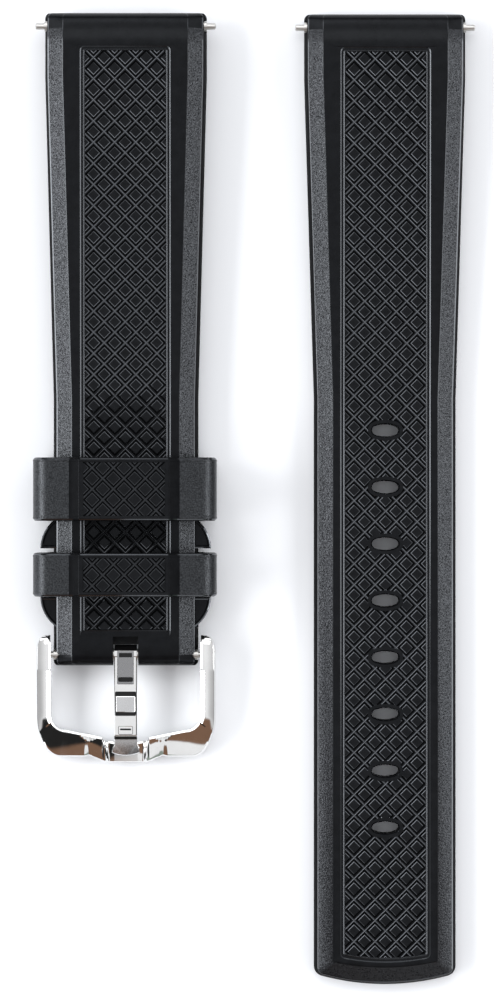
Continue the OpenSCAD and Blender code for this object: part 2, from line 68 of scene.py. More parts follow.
# Band of rubber, as in the solids
LUG_W = 20.0
LUG_T = 4.0
BAND_T = 2.9
TAPER_FROM = 8.0
TAPER_TO = 47.5
TAIL_W = 17.6
BUCKLE_W = 17.9
SIDE_RUN = 0.45
BEVEL_RUN = 1.95
BEVEL_DROP = 0.7
UNDER_EDGE = 0.3
EDGE_INSET = SIDE_RUN + BEVEL_RUN
LUG_NOSE = 1.65
BUCKLE_NOSE = 1.35
NOSE_ROLL = 4.3
LUG_CORNER = 0.6
LUG_SMOOTH = 2.1
BUCKLE_SMOOTH = 1.4
TAIL_R = 30.0
TAIL_CORNER = 1.3
TAIL_SECTION = 5.0
NO_LIMIT = 99.0
BAR_BORE_R = 0.8
SLOT_W = 3.1
SLOT_BACK = 2.3
SLOT_LEAN = 1.1
SLOT_CUT = (-1.0, 6.0)
BORE_L = 24.0

# Finishes of the rubber, as numbers of material slots, and those of a half's side from its foot up
PLAIN, GRAIN, DULL, EDGE, LINE, SIDE, RIM = range(7)
SIDE_ROWS = [SIDE, SIDE, SIDE, PLAIN, RIM, GRAIN, LINE, PLAIN]
BEVEL_ROW = SIDE_ROWS.index(GRAIN)

# Angles of edges that are shaded sharp: of most pieces, of keepers and tongue, of the buckle's frame
SHARP_ANGLE = 28
FINE_ANGLE = 20
FRAME_ANGLE = 13

# Panel of diamonds and the lines round it
PANEL_W = 9.9
PANEL_MARGIN = 4.5
PAST_END = 20.0
LUG_MARGIN = 4.9
FIRST_ROW = 5.8
TAIL_MARGIN = EDGE_INSET + 1.2
PITCH = 2.585
PLATE = 0.5515
RIDGE = 0.155
RELIEF = 0.28
EDGE_RUN = 0.068
EDGE_DROP = 0.047
WALL = 0.025
RIB_W = 0.2
RIB_EDGE = 0.07
RIB_CREST = -0.02
RIB_SHOULDER = -0.064
RIB_STEPS = [0, WALL, WALL + RIB_EDGE, RIB_W - RIB_EDGE, RIB_W, RIB_W + WALL]
LINE_FLOOR = 0.48
LINE_TOP = 0.61
LINE_DROP = 0.081
RIB_HEIGHTS = [RIB_SHOULDER, RIB_CREST, RIB_CREST, RIB_SHOULDER, -LINE_DROP]
DEEP = 0.1
WORN_SLOPES = (0.6, 0.93)

# Adjustment holes: ovals of two end arcs and two side arcs, whose centres lie off the middle
HOLE_COUNT = 8
HOLE_PITCH = 7.0
HOLE_MARGIN = 19.6
HOLE_L = 3.35
HOLE_W = 1.55
HOLE_FOOT = 0.1
END_R = 0.36 * HOLE_W
END_OFF = HOLE_L / 2 - END_R
SIDE_R = (HOLE_L ** 2 + HOLE_W ** 2 - 4 * HOLE_L * END_R) / (4 * HOLE_W - 8 * END_R)
SIDE_OFF = SIDE_R - HOLE_W / 2
RIM_W = 0.6
RIM_FLAT = RIM_W - 0.1
RIM_STEPS = [0, 0.12, RIM_FLAT, RIM_W - 0.04, RIM_W]
RIM_HEIGHTS = [-0.14, 0, 0, -0.1, -0.4]

# Stops beside the fixed keeper
STOP_BACK = 8.5
STOP_REACH = 1.55
STOP_L = 3.4
STOP_T = 1.7
STOP_Z = UNDER_EDGE + 0.1
STOP_ROOT = SIDE_RUN + 0.35
KEEPER_PLAY = 0.6

# Keepers
KEEPER_WALL = 1.65
KEEPER_FLOOR = 1.2
KEEPER_ROOF = 1.25
KEEPER_PAD = 0.5
PAD_HALF = 5.3
KEEPER_R = 2.1
OPENING_R = 0.6
OPENING_RIM = 0.12
SHOULDER_SLOPE = 0.2
KEEPER_RIM = 0.63
KEEPER_PLATE = 0.61
KEEPER_RIDGE = 0.13
KEEPER_RELIEF = 0.22
PAD_WALL = 0.06
GRAIN_FROM = PAD_HALF + 1.4
DULL_FROM = PAD_HALF + 0.2

# A keeper's edge: distances from its end, and how far inwards the surface lies at each
KEEPER_EDGE = [(0.0, 0.4), (0.03, 0.26), (0.12, 0.12), (0.26, 0.02), (0.4, 0.0), (0.46, 0.0), (0.51, 0.03)]
EDGE_ROW = 2

# Buckle
FRONT_H = 3.3
FRONT_W = 3.4
INNER_CORNER = 1.9
OUTER_CORNER_X = 3.0
OUTER_CORNER_Y = 5.0
EAR_CORNER = 1.2
EAR_HALF = 1.45
EAR_FROM = 0.4
EAR_TIP = 0.35
CRADLE_HALF = 2.1
CRADLE_SIDE = 0.5
CRADLE_REACH = 0.7
CRADLE_DIP = 1.0
TONGUE_W = 2.8
TIP_W = 3.45
TONGUE_T = 1.15
TOP_CHAMFER = 0.11
UNDER_CHAMFER = 0.08
TONGUE_GAP = 0.25
EYE_R = 1.25
EYE_GAP = 0.02
RECESS_CUT = (0.6, 2.0)
TIP_BORE_R = 0.45
TIP_BORE_L = 2.4
TIP_FLOOR = -0.3
BUCKLE_INNER = 18.54
NOTCH_AT = 4.6
NOTCH_HALF = 0.5
NOTCH_CUT = 0.14
BESIDE_CUT = 0.35
FACET_HALF = 1.1
FACET_CUT = 0.26
BEVEL_START = 1.8
BEVEL_END = 8.3
BEVEL_EASE = 0.15
BEVEL_W = 0.14
BEVEL_ADDS = 0.3
FRONT_BEVEL = 0.3
FRONT_FROM = 3.0
SWELL_EASE = 0.4
BESIDE_EASE = (0.05, 0.35)
BAR_SLOPE = 0.2
BAR_FLAT = 1.5

# Sections of the frame: the slope and the drop of the top and where it turns down, at an arm and what the
# front adds, then the lower side as shares of width and height
ARM_TOP = (0.02, 0.1, 0.82)
FRONT_ADDS = (0.2, 0.14, 0.1)
SIDE_HEIGHT = 0.42
UNDER_SIDE = [(1.0, 0.28), (0.975, 0.14), (0.93, 0.06), (0.86, 0.015), (0.78, 0.0), (0.3, 0.0),
              (0.16, 0.01), (0.07, 0.06), (0.02, 0.14), (0.0, 0.26)]
QUARTER = np.radians(np.linspace(0, 90, 11))

# Finishes of the tongue's steel, as numbers of material slots; the last is near-black steel that paints shade
# into deep recesses
POLISHED, SATIN, PALE_SATIN, PAINTED_SHADE_STEEL = range(4)


def mm_box(node):
    """Lowest and highest corner of a node, in millimetres."""
    low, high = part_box(node)
    return low / MM, high / MM


def placer(origin, x=1, y=1):
    """A place function about an origin in millimetres; x or y is -1 where that axis turns round."""
    def place(p):
        return (origin[0] + x * p[0]) * MM, (origin[1] + y * p[1]) * MM, (origin[2] + p[2]) * MM
    return place


def link_object(name, data):
    thing = bpy.data.objects.new(name, data)
    bpy.context.scene.collection.objects.link(thing)
    return thing


# A piece of mesh, put together from strips and filled patches

class Shape:
    """Points in millimetres, faces and the number of each face's finish."""

    def __init__(self):
        self.points = []
        self.faces = []
        self.finishes = []

    def add(self, points, faces, finish=0):
        start = len(self.points)
        self.points.extend(tuple(float(c) for c in p) for p in points)
        self.faces.extend(tuple(start + int(i) for i in f) for f in faces)
        self.finishes.extend(np.broadcast_to(finish, len(faces)).tolist())

    def strip(self, row, other, closed=False, finish=0):
        """Quads between two rows of equally many points."""
        n = len(row)
        last = n if closed else n - 1
        faces = [(i, (i + 1) % n, n + (i + 1) % n, n + i) for i in range(last)]
        self.add(list(row) + list(other), faces, finish)

    def rows(self, rows, closed=False, finishes=None):
        for k in range(len(rows) - 1):
            self.strip(rows[k], rows[k + 1], closed, finishes[k] if finishes else 0)

    def ngon(self, points, finish=0):
        self.add(points, [tuple(range(len(points)))], finish)

    def to_object(self, name, place, materials):
        """The finished object: doubles merged, faces turned outwards, edges sharpened by angle."""
        mesh = bpy.data.meshes.new(name)
        mesh.from_pydata([place(p) for p in self.points], [], self.faces)
        mesh.polygons.foreach_set("material_index", self.finishes)
        bm = bmesh.new()
        bm.from_mesh(mesh)
        bmesh.ops.remove_doubles(bm, verts=bm.verts, dist=MERGE)
        bmesh.ops.recalc_face_normals(bm, faces=bm.faces)
        bm.to_mesh(mesh)
        bm.free()
        for material in materials:
            mesh.materials.append(material)
        thing = link_object(name, mesh)
        finish_shading(thing)
        return thing


def finish_shading(thing, sharp_angle=SHARP_ANGLE):
    mesh = thing.data
    mesh.polygons.foreach_set("use_smooth", [True] * len(mesh.polygons))
    mesh.set_sharp_from_angle(angle=math.radians(sharp_angle))


def solid(rows, finishes=None, caps=0):
    """A closed shape through rows of points, with a face over the first row and one over the last."""
    shape = Shape()
    shape.rows(rows, closed=True, finishes=finishes)
    shape.ngon(rows[0], caps)
    shape.ngon(rows[-1], caps)
    return shape


def combine(thing, shape, place, materials, operation="DIFFERENCE"):
    """Cuts a closed shape out of a closed piece, or joins the two."""
    tool = shape.to_object("tool", place, materials)
    modifier = thing.modifiers.new("combine", "BOOLEAN")
    modifier.object = tool
    modifier.operation = operation
    modifier.solver = "MANIFOLD"
    graph = bpy.context.evaluated_depsgraph_get()
    mesh = bpy.data.meshes.new_from_object(thing.evaluated_get(graph))
    thing.modifiers.clear()
    old = thing.data
    thing.data = mesh
    bpy.data.meshes.remove(old)
    used = tool.data
    bpy.data.objects.remove(tool)
    bpy.data.meshes.remove(used)


def fill(loops, lines, inside):
    """Triangles that follow closed loops and open lines, as 2-D points and the faces that are inside."""
    points, edges = [], []
    for run, closed in [(loop, True) for loop in loops] + [(line, False) for line in lines]:
        start = len(points)
        points.extend(Vector((float(p[0]), float(p[1]))) for p in run)
        count = len(run)
        edges.extend((start + i, start + i + 1) for i in range(count - 1))
        if closed:
            edges.append((start + count - 1, start))
    flat, _, faces, _, _, _ = delaunay_2d_cdt(points, edges, [], 0, FILL_STEP, False)
    flat = np.array([(p[0], p[1]) for p in flat])
    faces = np.array([tuple(f) for f in faces])
    middles = flat[faces].mean(axis=1)
    return flat, faces[inside(middles)]


def within(points, loop):
    """Which of the points lie inside a closed loop, by counting crossings."""
    x, y = points[:, 0], points[:, 1]
    inside = np.zeros(len(points), bool)
    for (ax, ay), (bx, by) in zip(loop, loop[1:] + loop[:1]):
        if ay == by:
            continue
        crosses = (ay > y) != (by > y)
        inside ^= crosses & (x < (bx - ax) * (y - ay) / (by - ay) + ax)
    return inside


def between(loop, gaps=()):
    """A test for points inside a loop and outside the gaps in it."""
    def inside(points):
        keep = within(points, loop)
        for gap in gaps:
            keep &= ~within(points, gap)
        return keep
    return inside


def clip(a, b, polygon):
    """The part of a segment inside a convex polygon that runs counter-clockwise, or None."""
    enter, leave = 0.0, 1.0
    run = (b[0] - a[0], b[1] - a[1])
    for (px, py), (qx, qy) in zip(polygon, polygon[1:] + polygon[:1]):
        across = (qy - py, px - qx)
        speed = run[0] * across[0] + run[1] * across[1]
        gap = (a[0] - px) * across[0] + (a[1] - py) * across[1]
        if abs(speed) < TINY:
            if gap > 0:
                return None
        elif speed > 0:
            leave = min(leave, -gap / speed)
        else:
            enter = max(enter, -gap / speed)
    if leave - enter < SHORTEST:
        return None
    return [(a[0] + t * run[0], a[1] + t * run[1]) for t in (enter, leave)]


def outside(a, b, polygon):
    """The parts of a segment that lie outside a convex polygon."""
    part = clip(a, b, polygon)
    if not part:
        return [(a, b)]
    return [(p, q) for p, q in ((a, part[0]), (part[1], b)) if math.dist(p, q) > SHORTEST]


def arc(centre, radius, start, end, count):
    """Points on an arc, angles in degrees, both ends included."""
    return [(centre[0] + radius * math.cos(math.radians(a)), centre[1] + radius * math.sin(math.radians(a)))
            for a in np.linspace(start, end, count)]


def rounded_rectangle(half, start, end, r):
    """A rectangle about x = 0 with rounded corners, counter-clockwise from its start's right corner."""
    return (arc((half - r, start + r), r, -90, 0, 6) + arc((half - r, end - r), r, 0, 90, 6)
            + arc((r - half, end - r), r, 90, 180, 6) + arc((r - half, start + r), r, 180, 270, 6))


# Diamond pattern: square plates turned by 45 degrees, with ridges crossing between them

class Diamonds:
    """A lattice of plates about (x, y), each plate of the given half side, with split ridges between."""

    def __init__(self, x, y, plate, ridge, relief):
        self.x = x
        self.y = y
        self.cell = PITCH / ROOT_2
        edge = self.cell / 2
        foot = edge - ridge
        self.steps = [plate - EDGE_RUN, plate, plate + WALL, foot - WALL, foot, edge - EDGE_RUN, edge]
        self.heights = [0, -EDGE_DROP, -relief, -relief, 0, 0, -EDGE_DROP]

    def height(self, x, y):
        u = (x - self.x + y - self.y) / ROOT_2 / self.cell
        v = (x - self.x - y + self.y) / ROOT_2 / self.cell
        off = np.maximum(np.abs(u - np.round(u)), np.abs(v - np.round(v))) * self.cell
        return np.interp(off, self.steps, self.heights)

    def lines(self, polygon):
        """The edges of all plates and ridges inside a convex polygon."""
        half = PITCH / 2
        low = (np.min(polygon, axis=0) - (self.x, self.y)) / half
        high = (np.max(polygon, axis=0) - (self.x, self.y)) / half
        across, along = (range(math.floor(a) - 1, math.ceil(b) + 2) for a, b in zip(low, high))
        found = []
        for i in across:
            for j in along:
                if (i + j) % 2:
                    continue
                cx, cy = self.x + i * half, self.y + j * half
                edges = []
                for step in self.steps:
                    d = step * ROOT_2
                    corners = [(cx + d, cy), (cx, cy + d), (cx - d, cy), (cx, cy - d)]
                    edges += zip(corners, corners[1:] + corners[:1])
                # The last two sides of the outermost square are also those of two neighbours
                for a, b in edges[:-2]:
                    part = clip(a, b, polygon)
                    if part:
                        found.append(part)
        return found


def box_distance(dx, ds):
    """Distance from a rectangle's edge, from how far a place is past its side and past its end."""
    return np.hypot(np.maximum(dx, 0), np.maximum(ds, 0)) + np.minimum(np.maximum(dx, ds), 0)


class Panel:
    """A rectangle with an optional round end, and the distance of a place from its edge."""

    def __init__(self, half, start, end, end_r=None):
        self.half = half
        self.start = start
        self.end = end
        self.end_r = end_r

    def distance(self, x, s):
        front = s - self.end
        if self.end_r:
            front = np.hypot(x, np.maximum(front + self.end_r, 0)) - self.end_r
        return box_distance(np.abs(x) - self.half, np.maximum(self.start - s, front))

    def outline(self, grow):
        """A loop at a distance outside the edge, counter-clockwise from the start's right corner."""
        corner = 1 if grow == 0 else 5
        points = arc((self.half, self.start), grow, -90, 0, corner)
        if self.end_r:
            centre = (0, self.end - self.end_r)
            angle = math.degrees(math.acos(self.half / self.end_r))
            meet = centre[1] + self.end_r * math.sin(math.radians(angle))
            points += arc((self.half, meet), grow, 0, angle, corner)
            points += arc(centre, self.end_r + grow, angle, 180 - angle, 15)[1:-1]
            points += arc((-self.half, meet), grow, 180 - angle, 180, corner)
        else:
            points += arc((self.half, self.end), grow, 0, 90, corner)
            points += arc((-self.half, self.end), grow, 90, 180, corner)
        return points + arc((-self.half, self.start), grow, 180, 270, corner)


def oval_loop(s, grow):
    """A loop round an adjustment hole, at a distance outside its edge."""
    turn = math.degrees(math.atan2(SIDE_OFF, END_OFF))
    right = arc((END_OFF, s), END_R + grow, -turn, turn, 9)
    top = arc((0, s - SIDE_OFF), SIDE_R + grow, turn, 180 - turn, 9)[1:-1]
    left = arc((-END_OFF, s), END_R + grow, 180 - turn, 180 + turn, 9)
    bottom = arc((0, s + SIDE_OFF), SIDE_R + grow, 180 + turn, 360 - turn, 9)[1:-1]
    return right + top + left + bottom


def oval_distance(x, s):
    """Distance from a hole's edge, x and s being from its middle."""
    x, s = np.abs(x), np.abs(s)
    at_end = (x - END_OFF) * SIDE_OFF > s * END_OFF
    end = np.hypot(x - END_OFF, s) - END_R
    side = np.hypot(x, s + SIDE_OFF) - SIDE_R
    return np.where(at_end, end, side)


def pattern_finish(points, faces, surface):
    """Finish of each face of a pattern: worn edges, dull grooves and plain tops."""
    a, b, c = (points[faces[:, i]] for i in range(3))
    normal = np.cross(b - a, c - a)
    level = np.abs(normal[:, 2]) / np.maximum(np.linalg.norm(normal, axis=1), TINY)
    middle = (a + b + c) / 3
    deep = surface(middle) - middle[:, 2] > DEEP
    worn = (level > WORN_SLOPES[0]) & (level < WORN_SLOPES[1])
    return np.where(deep, DULL, np.where(worn, EDGE, PLAIN))


# The two halves of the strap

def taper(s):
    return np.clip((s - TAPER_FROM) / (TAPER_TO - TAPER_FROM), 0, 1)


def nose_floor(t, r):
    """Height of a nose's lower curve at a distance t from its tip."""
    return r - np.sqrt(r ** 2 - np.clip(r - t, 0, r) ** 2)


class Half:
    """One half of the strap: its size, its ends, its panel and the height of its top and underside."""

    def __init__(self, node, end_w, buckle_end):
        low, high = mm_box(node)
        self.node = node
        self.lug_end = ((low.x + high.x) / 2, high.y, low.z)
        self.place = placer(self.lug_end, y=-1)
        self.len = high.y - low.y
        self.end_w = end_w
        self.buckle_end = buckle_end
        self.diamonds = Diamonds(0, FIRST_ROW, PLATE, RIDGE, RELIEF)
        if buckle_end:
            self.panel = Panel(PANEL_W / 2, LUG_MARGIN, self.len - PANEL_MARGIN)
            self.line = Panel(PANEL_W / 2, LUG_MARGIN, self.len + PAST_END)
            self.holes = []
        else:
            self.panel = Panel(PANEL_W / 2, LUG_MARGIN, self.len - TAIL_MARGIN, TAIL_R - TAIL_MARGIN)
            self.line = self.panel
            self.holes = [self.len - HOLE_MARGIN - i * HOLE_PITCH for i in range(HOLE_COUNT)]

    def stations(self):
        """Distances from the lug end of a side's sections: along the noses and where the taper turns."""
        nose = [LUG_NOSE * (1 - math.cos(math.radians(a))) for a in range(10, 91, 10)]
        nose += list(np.linspace(LUG_NOSE, NOSE_ROLL, 8)[1:])
        far = [self.len - t for t in reversed(nose)] if self.buckle_end else []
        return nose + [TAPER_FROM, TAPER_TO] + far

    def half_w(self, s):
        width = LUG_W + (self.end_w - LUG_W) * taper(s)
        tip = min(s, self.len - s) if self.buckle_end else s
        if tip < LUG_CORNER:
            width -= 2 * (LUG_CORNER - math.sqrt(LUG_CORNER ** 2 - (LUG_CORNER - tip) ** 2))
        return width / 2

    def top(self, s):
        return LUG_T + (BAND_T - LUG_T) * taper(s)

    def roll(self, t, r, top):
        """Height of a nose's upper curve at a distance t from its tip."""
        rise = top - r
        run = NOSE_ROLL - r
        big = (run * run + rise * rise - r * r) / (2 * (rise - r))
        touch = r - r * run / math.hypot(run, big - rise)
        t = np.asarray(t, float)
        small = r + np.sqrt(np.maximum(r * r - (r - t) ** 2, 0))
        large = top - big + np.sqrt(np.maximum(big * big - (NOSE_ROLL - t) ** 2, 0))
        return np.where(t < touch, small, np.where(t < NOSE_ROLL, large, NO_LIMIT))

    def ceiling(self, s):
        """Height below which the noses keep the top."""
        limit = self.roll(s, LUG_NOSE, LUG_T)
        if self.buckle_end:
            limit = np.minimum(limit, self.roll(self.len - s, BUCKLE_NOSE, BAND_T))
        return limit

    def floor(self, s):
        """Height above which the noses keep the underside."""
        low = nose_floor(s, LUG_NOSE)
        if self.buckle_end:
            low = np.maximum(low, nose_floor(self.len - s, BUCKLE_NOSE))
        return low

    def bevel_finish(self, run):
        """Grain along the sloping band, smooth where it rolls down to a nose."""
        along = [(a[BEVEL_ROW][1] + b[BEVEL_ROW][1]) / 2 for a, b in zip(run, run[1:])]
        return [PLAIN if s < LUG_SMOOTH or (self.buckle_end and self.len - s < BUCKLE_SMOOTH) else GRAIN
                for s in along]

    def profile(self, s):
        """Heights of the band's side and how far inwards it lies at each."""
        top = float(self.top(s))
        edge = top - BEVEL_DROP
        return [
            (0.0, UNDER_EDGE), (0.22, 0.06), (0.38, 0.02), (edge - 0.14, SIDE_RUN - 0.03),
            (edge - 0.03, SIDE_RUN + 0.02), (edge + 0.03, SIDE_RUN + 0.14),
            (top - 0.075, EDGE_INSET - 0.12), (top - 0.015, EDGE_INSET - 0.02), (top, EDGE_INSET + 0.05),
        ]

    def column(self, s, at):
        """The points of one section of the side; at gives the plan place for an inset."""
        heights, insets = zip(*self.profile(s))
        low, high, top = float(self.floor(s)), float(self.ceiling(s)), heights[-1]
        points = []
        for z, inset in zip(heights, insets):
            x, y = at(inset)
            points.append((x, y, low + z * (min(high, top) - low) / top))
        return points

    def side_columns(self, side):
        return [self.column(s, lambda inset, s=s: (side * (self.half_w(s) - inset), s))
                for s in self.stations()]

    def tail_columns(self):
        """Sections round the tail, from its left side to its right side."""
        half = self.end_w / 2
        arc_s = self.len - TAIL_R
        corner_x = half - TAIL_CORNER
        corner_s = arc_s + math.sqrt((TAIL_R - TAIL_CORNER) ** 2 - corner_x ** 2)
        turn = math.acos(corner_x / (TAIL_R - TAIL_CORNER))

        def corner(angle, side):
            def at(inset):
                if inset < TAIL_CORNER:
                    r = TAIL_CORNER - inset
                    return side * (corner_x + r * math.cos(angle)), corner_s + r * math.sin(angle)
                x = half - inset
                return side * x, arc_s + math.sqrt((TAIL_R - inset) ** 2 - x * x)
            return at

        def end(share, side):
            def at(inset):
                x = corner_x + (TAIL_CORNER - inset) * math.cos(turn) if inset < TAIL_CORNER else half - inset
                start = math.acos(x / (TAIL_R - inset))
                angle = start + (math.pi / 2 - start) * share
                return side * (TAIL_R - inset) * math.cos(angle), arc_s + (TAIL_R - inset) * math.sin(angle)
            return at

        left = [corner(turn * i / 6, -1) for i in range(7)] + [end(i / 8, -1) for i in range(1, 8)]
        right = [corner(turn * i / 6, 1) for i in range(7)] + [end(i / 8, 1) for i in range(1, 9)]
        return [self.column(self.len - TAIL_SECTION, at) for at in left + right[::-1]]


def relief(half, x, s):
    """Heights of a half's panel, the lines round it and the holes' rims, against its top."""
    near = half.panel.distance(x, s)
    depth = np.interp(half.line.distance(x, s), [LINE_FLOOR, LINE_TOP], [-LINE_DROP, 0.0])
    depth = np.where(near < RIB_STEPS[-1], np.interp(near, RIB_STEPS[1:], RIB_HEIGHTS), depth)
    share = np.clip(near / WALL, 0, 1)
    pattern = half.diamonds.height(x, s) * (1 - share) + RIB_SHOULDER * share
    depth = np.where(near < WALL, pattern, depth)
    for hole in half.holes:
        gap = oval_distance(x, s - hole)
        rim = np.interp(gap, RIM_STEPS, RIM_HEIGHTS)
        depth = np.where(gap < RIM_FLAT, rim, np.where(gap < RIM_W, np.maximum(rim, depth), depth))
    return depth


def build_half(half):
    """The closed mesh of one half, before its bores, slot and stops."""
    shape = Shape()
    left, right = half.side_columns(-1), half.side_columns(1)
    if half.buckle_end:
        runs = [left, right]
        ring = left + right[::-1]
    else:
        ring = left + half.tail_columns() + right[::-1]
        runs = [ring]
    finishes = list(SIDE_ROWS)
    for run in runs:
        rows = [[column[k] for column in run] for k in range(len(run[0]))]
        finishes[BEVEL_ROW] = half.bevel_finish(run)
        shape.rows(rows, finishes=finishes)
    shape.ngon(left[0] + right[0][::-1])
    if half.buckle_end:
        shape.ngon(left[-1] + right[-1][::-1])
    fill_top(shape, half, [column[-1][:2] for column in ring], cross_lines(half, left, right, -1))
    fill_underside(shape, half, [column[0][:2] for column in ring], cross_lines(half, left, right, 0))
    return shape


def cross_lines(half, left, right, level):
    """Lines across a half between the sections at its two sides, apart from the very ends."""
    last = -1 if half.buckle_end else None
    return [[a[level][:2], b[level][:2]] for a, b in zip(left[1:last], right[1:last])]


def open_line(half, grow):
    """The line round the panel of the buckle's half: down its sides and round its lug end."""
    panel = half.panel
    x, end = panel.half + grow, half.len - BUCKLE_NOSE / 2
    right = arc((panel.half, panel.start), grow, 0, -90, 5)[1:]
    left = arc((-panel.half, panel.start), grow, 270, 180, 5)
    return [(x, end), (x, panel.start)] + right + left + [(-x, end)]


def fill_top(shape, half, loop, lines):
    """The top of a half with its panel, and the walls of its holes."""
    panel = half.panel
    loops = [loop] + [panel.outline(grow) for grow in RIB_STEPS]
    for grow in (LINE_FLOOR, LINE_TOP):
        if half.line is panel:
            loops.append(panel.outline(grow))
        else:
            lines.append(open_line(half, grow))
    pattern = half.diamonds.lines(panel.outline(0))
    for hole in half.holes:
        rim = oval_loop(hole, RIM_FLAT)
        pattern = [part for a, b in pattern for part in outside(a, b, rim)]
        loops += [oval_loop(hole, grow) for grow in RIM_STEPS]
    edges = [oval_loop(hole, 0) for hole in half.holes]

    def height(points):
        x, s = points[:, 0], points[:, 1]
        return np.minimum(half.top(s) + relief(half, x, s), half.ceiling(s))

    flat, faces = fill(loops, lines + pattern, between(loop, edges))
    points = np.column_stack([flat, height(flat)])
    finish = pattern_finish(points, faces, lambda p: half.top(p[:, 1]))
    x, s, _ = points[faces].mean(axis=1).T
    end = half.len - (NOSE_ROLL if half.buckle_end else 0)
    finish[(finish == EDGE) & (panel.distance(x, s) > 0)] = LINE
    finish[(half.line.distance(x, s) > LINE_TOP) | (s > end)] = PLAIN
    shape.add(points, faces, finish)
    for edge in edges:
        rim = np.column_stack([np.array(edge), height(np.array(edge))])
        foot = [(x, s, HOLE_FOOT) for x, s in edge]
        shape.strip(rim, foot, closed=True, finish=DULL)


def fill_underside(shape, half, loop, lines):
    inner = [oval_loop(hole, 0) for hole in half.holes]
    outer = [oval_loop(hole, HOLE_FOOT) for hole in half.holes]
    flat, faces = fill([loop] + inner + outer, lines, between(loop, inner))
    z = half.floor(flat[:, 1])
    for hole in half.holes:
        gap = oval_distance(flat[:, 0], flat[:, 1] - hole)
        z = np.maximum(z, np.interp(gap, [0, HOLE_FOOT], [HOLE_FOOT, 0]))
    shape.add(np.column_stack([flat, z]), faces)


def cylinder_along_x(centre, radius, length, count=48):
    """A closed cylinder across the strap."""
    ring = [(centre[0] + radius * math.cos(2 * math.pi * i / count),
             centre[1] + radius * math.sin(2 * math.pi * i / count)) for i in range(count)]
    return solid([[(x, s, z) for s, z in ring] for x in (-length / 2, length / 2)])


def box_shape(low, high, finish):
    base = [(low[0], low[1]), (high[0], low[1]), (high[0], high[1]), (low[0], high[1])]
    return solid([[(x, s, z) for x, s in base] for z in (low[2], high[2])], [finish], finish)


def stop_shape(edge, facing):
    """A stop beside the strap, seen from its flat face at s = 0, with a raised rim along its curve."""
    r = (STOP_REACH ** 2 + STOP_L ** 2) / (2 * STOP_REACH)
    centre = edge + STOP_REACH - r
    root = edge - STOP_ROOT

    def outline(inset):
        out = r - inset
        far = math.sqrt(out ** 2 - (root - centre) ** 2)
        start = math.asin(inset / out)
        stop = math.asin(min(1.0, far / out))
        curve = [(centre + out * math.cos(a), out * math.sin(a)) for a in np.linspace(start, stop, 18)]
        return [(root, facing * inset)] + [(x, facing * s) for x, s in curve]

    top = STOP_Z + STOP_T
    levels = [(0.12, STOP_Z), (0.0, STOP_Z + 0.12), (0.0, top - 0.1), (0.15, top), (0.25, top),
              (0.37, top - 0.08), (0.4, top - 0.16)]
    rows = [[(x, s, z) for x, s in outline(inset)] for inset, z in levels]
    return solid(rows, [DULL, DULL, EDGE, PLAIN, EDGE, DULL])


def slot_shape(half):
    """The tongue's slot, its end wall leaning out below."""
    levels = []
    for z in SLOT_CUT:
        back = half.len - BUCKLE_NOSE - SLOT_BACK + SLOT_LEAN * (1 - z / BAND_T)
        front = half.len + 1
        side = SLOT_W / 2
        levels.append([(-side, back, z), (side, back, z), (side, front, z), (-side, front, z)])
    return solid(levels, [DULL])


def make_strap(half, materials):
    thing = build_half(half).to_object(half.node + "_rubber", half.place, materials)
    ends = [(LUG_NOSE, LUG_NOSE)]
    if half.buckle_end:
        ends.append((half.len - BUCKLE_NOSE, BUCKLE_NOSE))
        combine(thing, slot_shape(half), half.place, materials)
    for end in ends:
        combine(thing, cylinder_along_x(end, BAR_BORE_R, BORE_L), half.place, materials[:1])
    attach(thing, "straps")
    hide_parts(half.node)
    if half.buckle_end:
        add_stops(thing, half, materials)
    finish_shading(thing)


def add_stops(thing, half, materials):
    lower = half.len - STOP_BACK
    low, high = mm_box("fixed_keeper")
    upper = lower - (high.y - low.y) - KEEPER_PLAY
    x, y, z = half.lug_end
    for s, facing in ((upper, -1), (lower, 1)):
        for side in (-1, 1):
            stop = stop_shape(half.half_w(s), facing)
            combine(thing, stop, placer((x, y - s, z), side, -1), materials, "UNION")


# Keepers

def keeper_profile(width, top):
    """The right half of a keeper's outer outline, from the middle of its underside to its pad."""
    shoulder_z = top - KEEPER_PAD
    edge_z = shoulder_z - SHOULDER_SLOPE
    x = width / 2 - KEEPER_R
    points = [(0.0, 0.0)]
    points += arc((x, KEEPER_R), KEEPER_R, -90, 0, 12)
    points += arc((x, edge_z - KEEPER_R), KEEPER_R, 0, 90, 14)
    points += [(PAD_HALF + 1.45, shoulder_z - 0.015), (PAD_HALF + 1.2, shoulder_z + 0.02)]
    points += [(PAD_HALF + 0.95, shoulder_z + 0.1), (PAD_HALF + 0.45, top - 0.16)]
    points += [(PAD_HALF + 0.28, top - 0.08), (PAD_HALF + 0.12, top - 0.02), (PAD_HALF, top)]
    return points


def inset_loop(points, amount):
    """A closed loop moved inwards by an amount, along the mean of its neighbours' normals."""
    count = len(points)
    moved = []
    for i, (x, y) in enumerate(points):
        ax, ay = points[i - 1]
        bx, by = points[(i + 1) % count]
        length = math.hypot(bx - ax, by - ay)
        moved.append((x - amount * (by - ay) / length, y + amount * (bx - ax) / length))
    return moved


def keeper_finish(a, b):
    """Finish of a keeper between two points of its outline: its pad, the pad's foot and the rest."""
    across = (abs(a[0]) + abs(b[0])) / 2
    return GRAIN if across > GRAIN_FROM else DULL if across > DULL_FROM else PLAIN


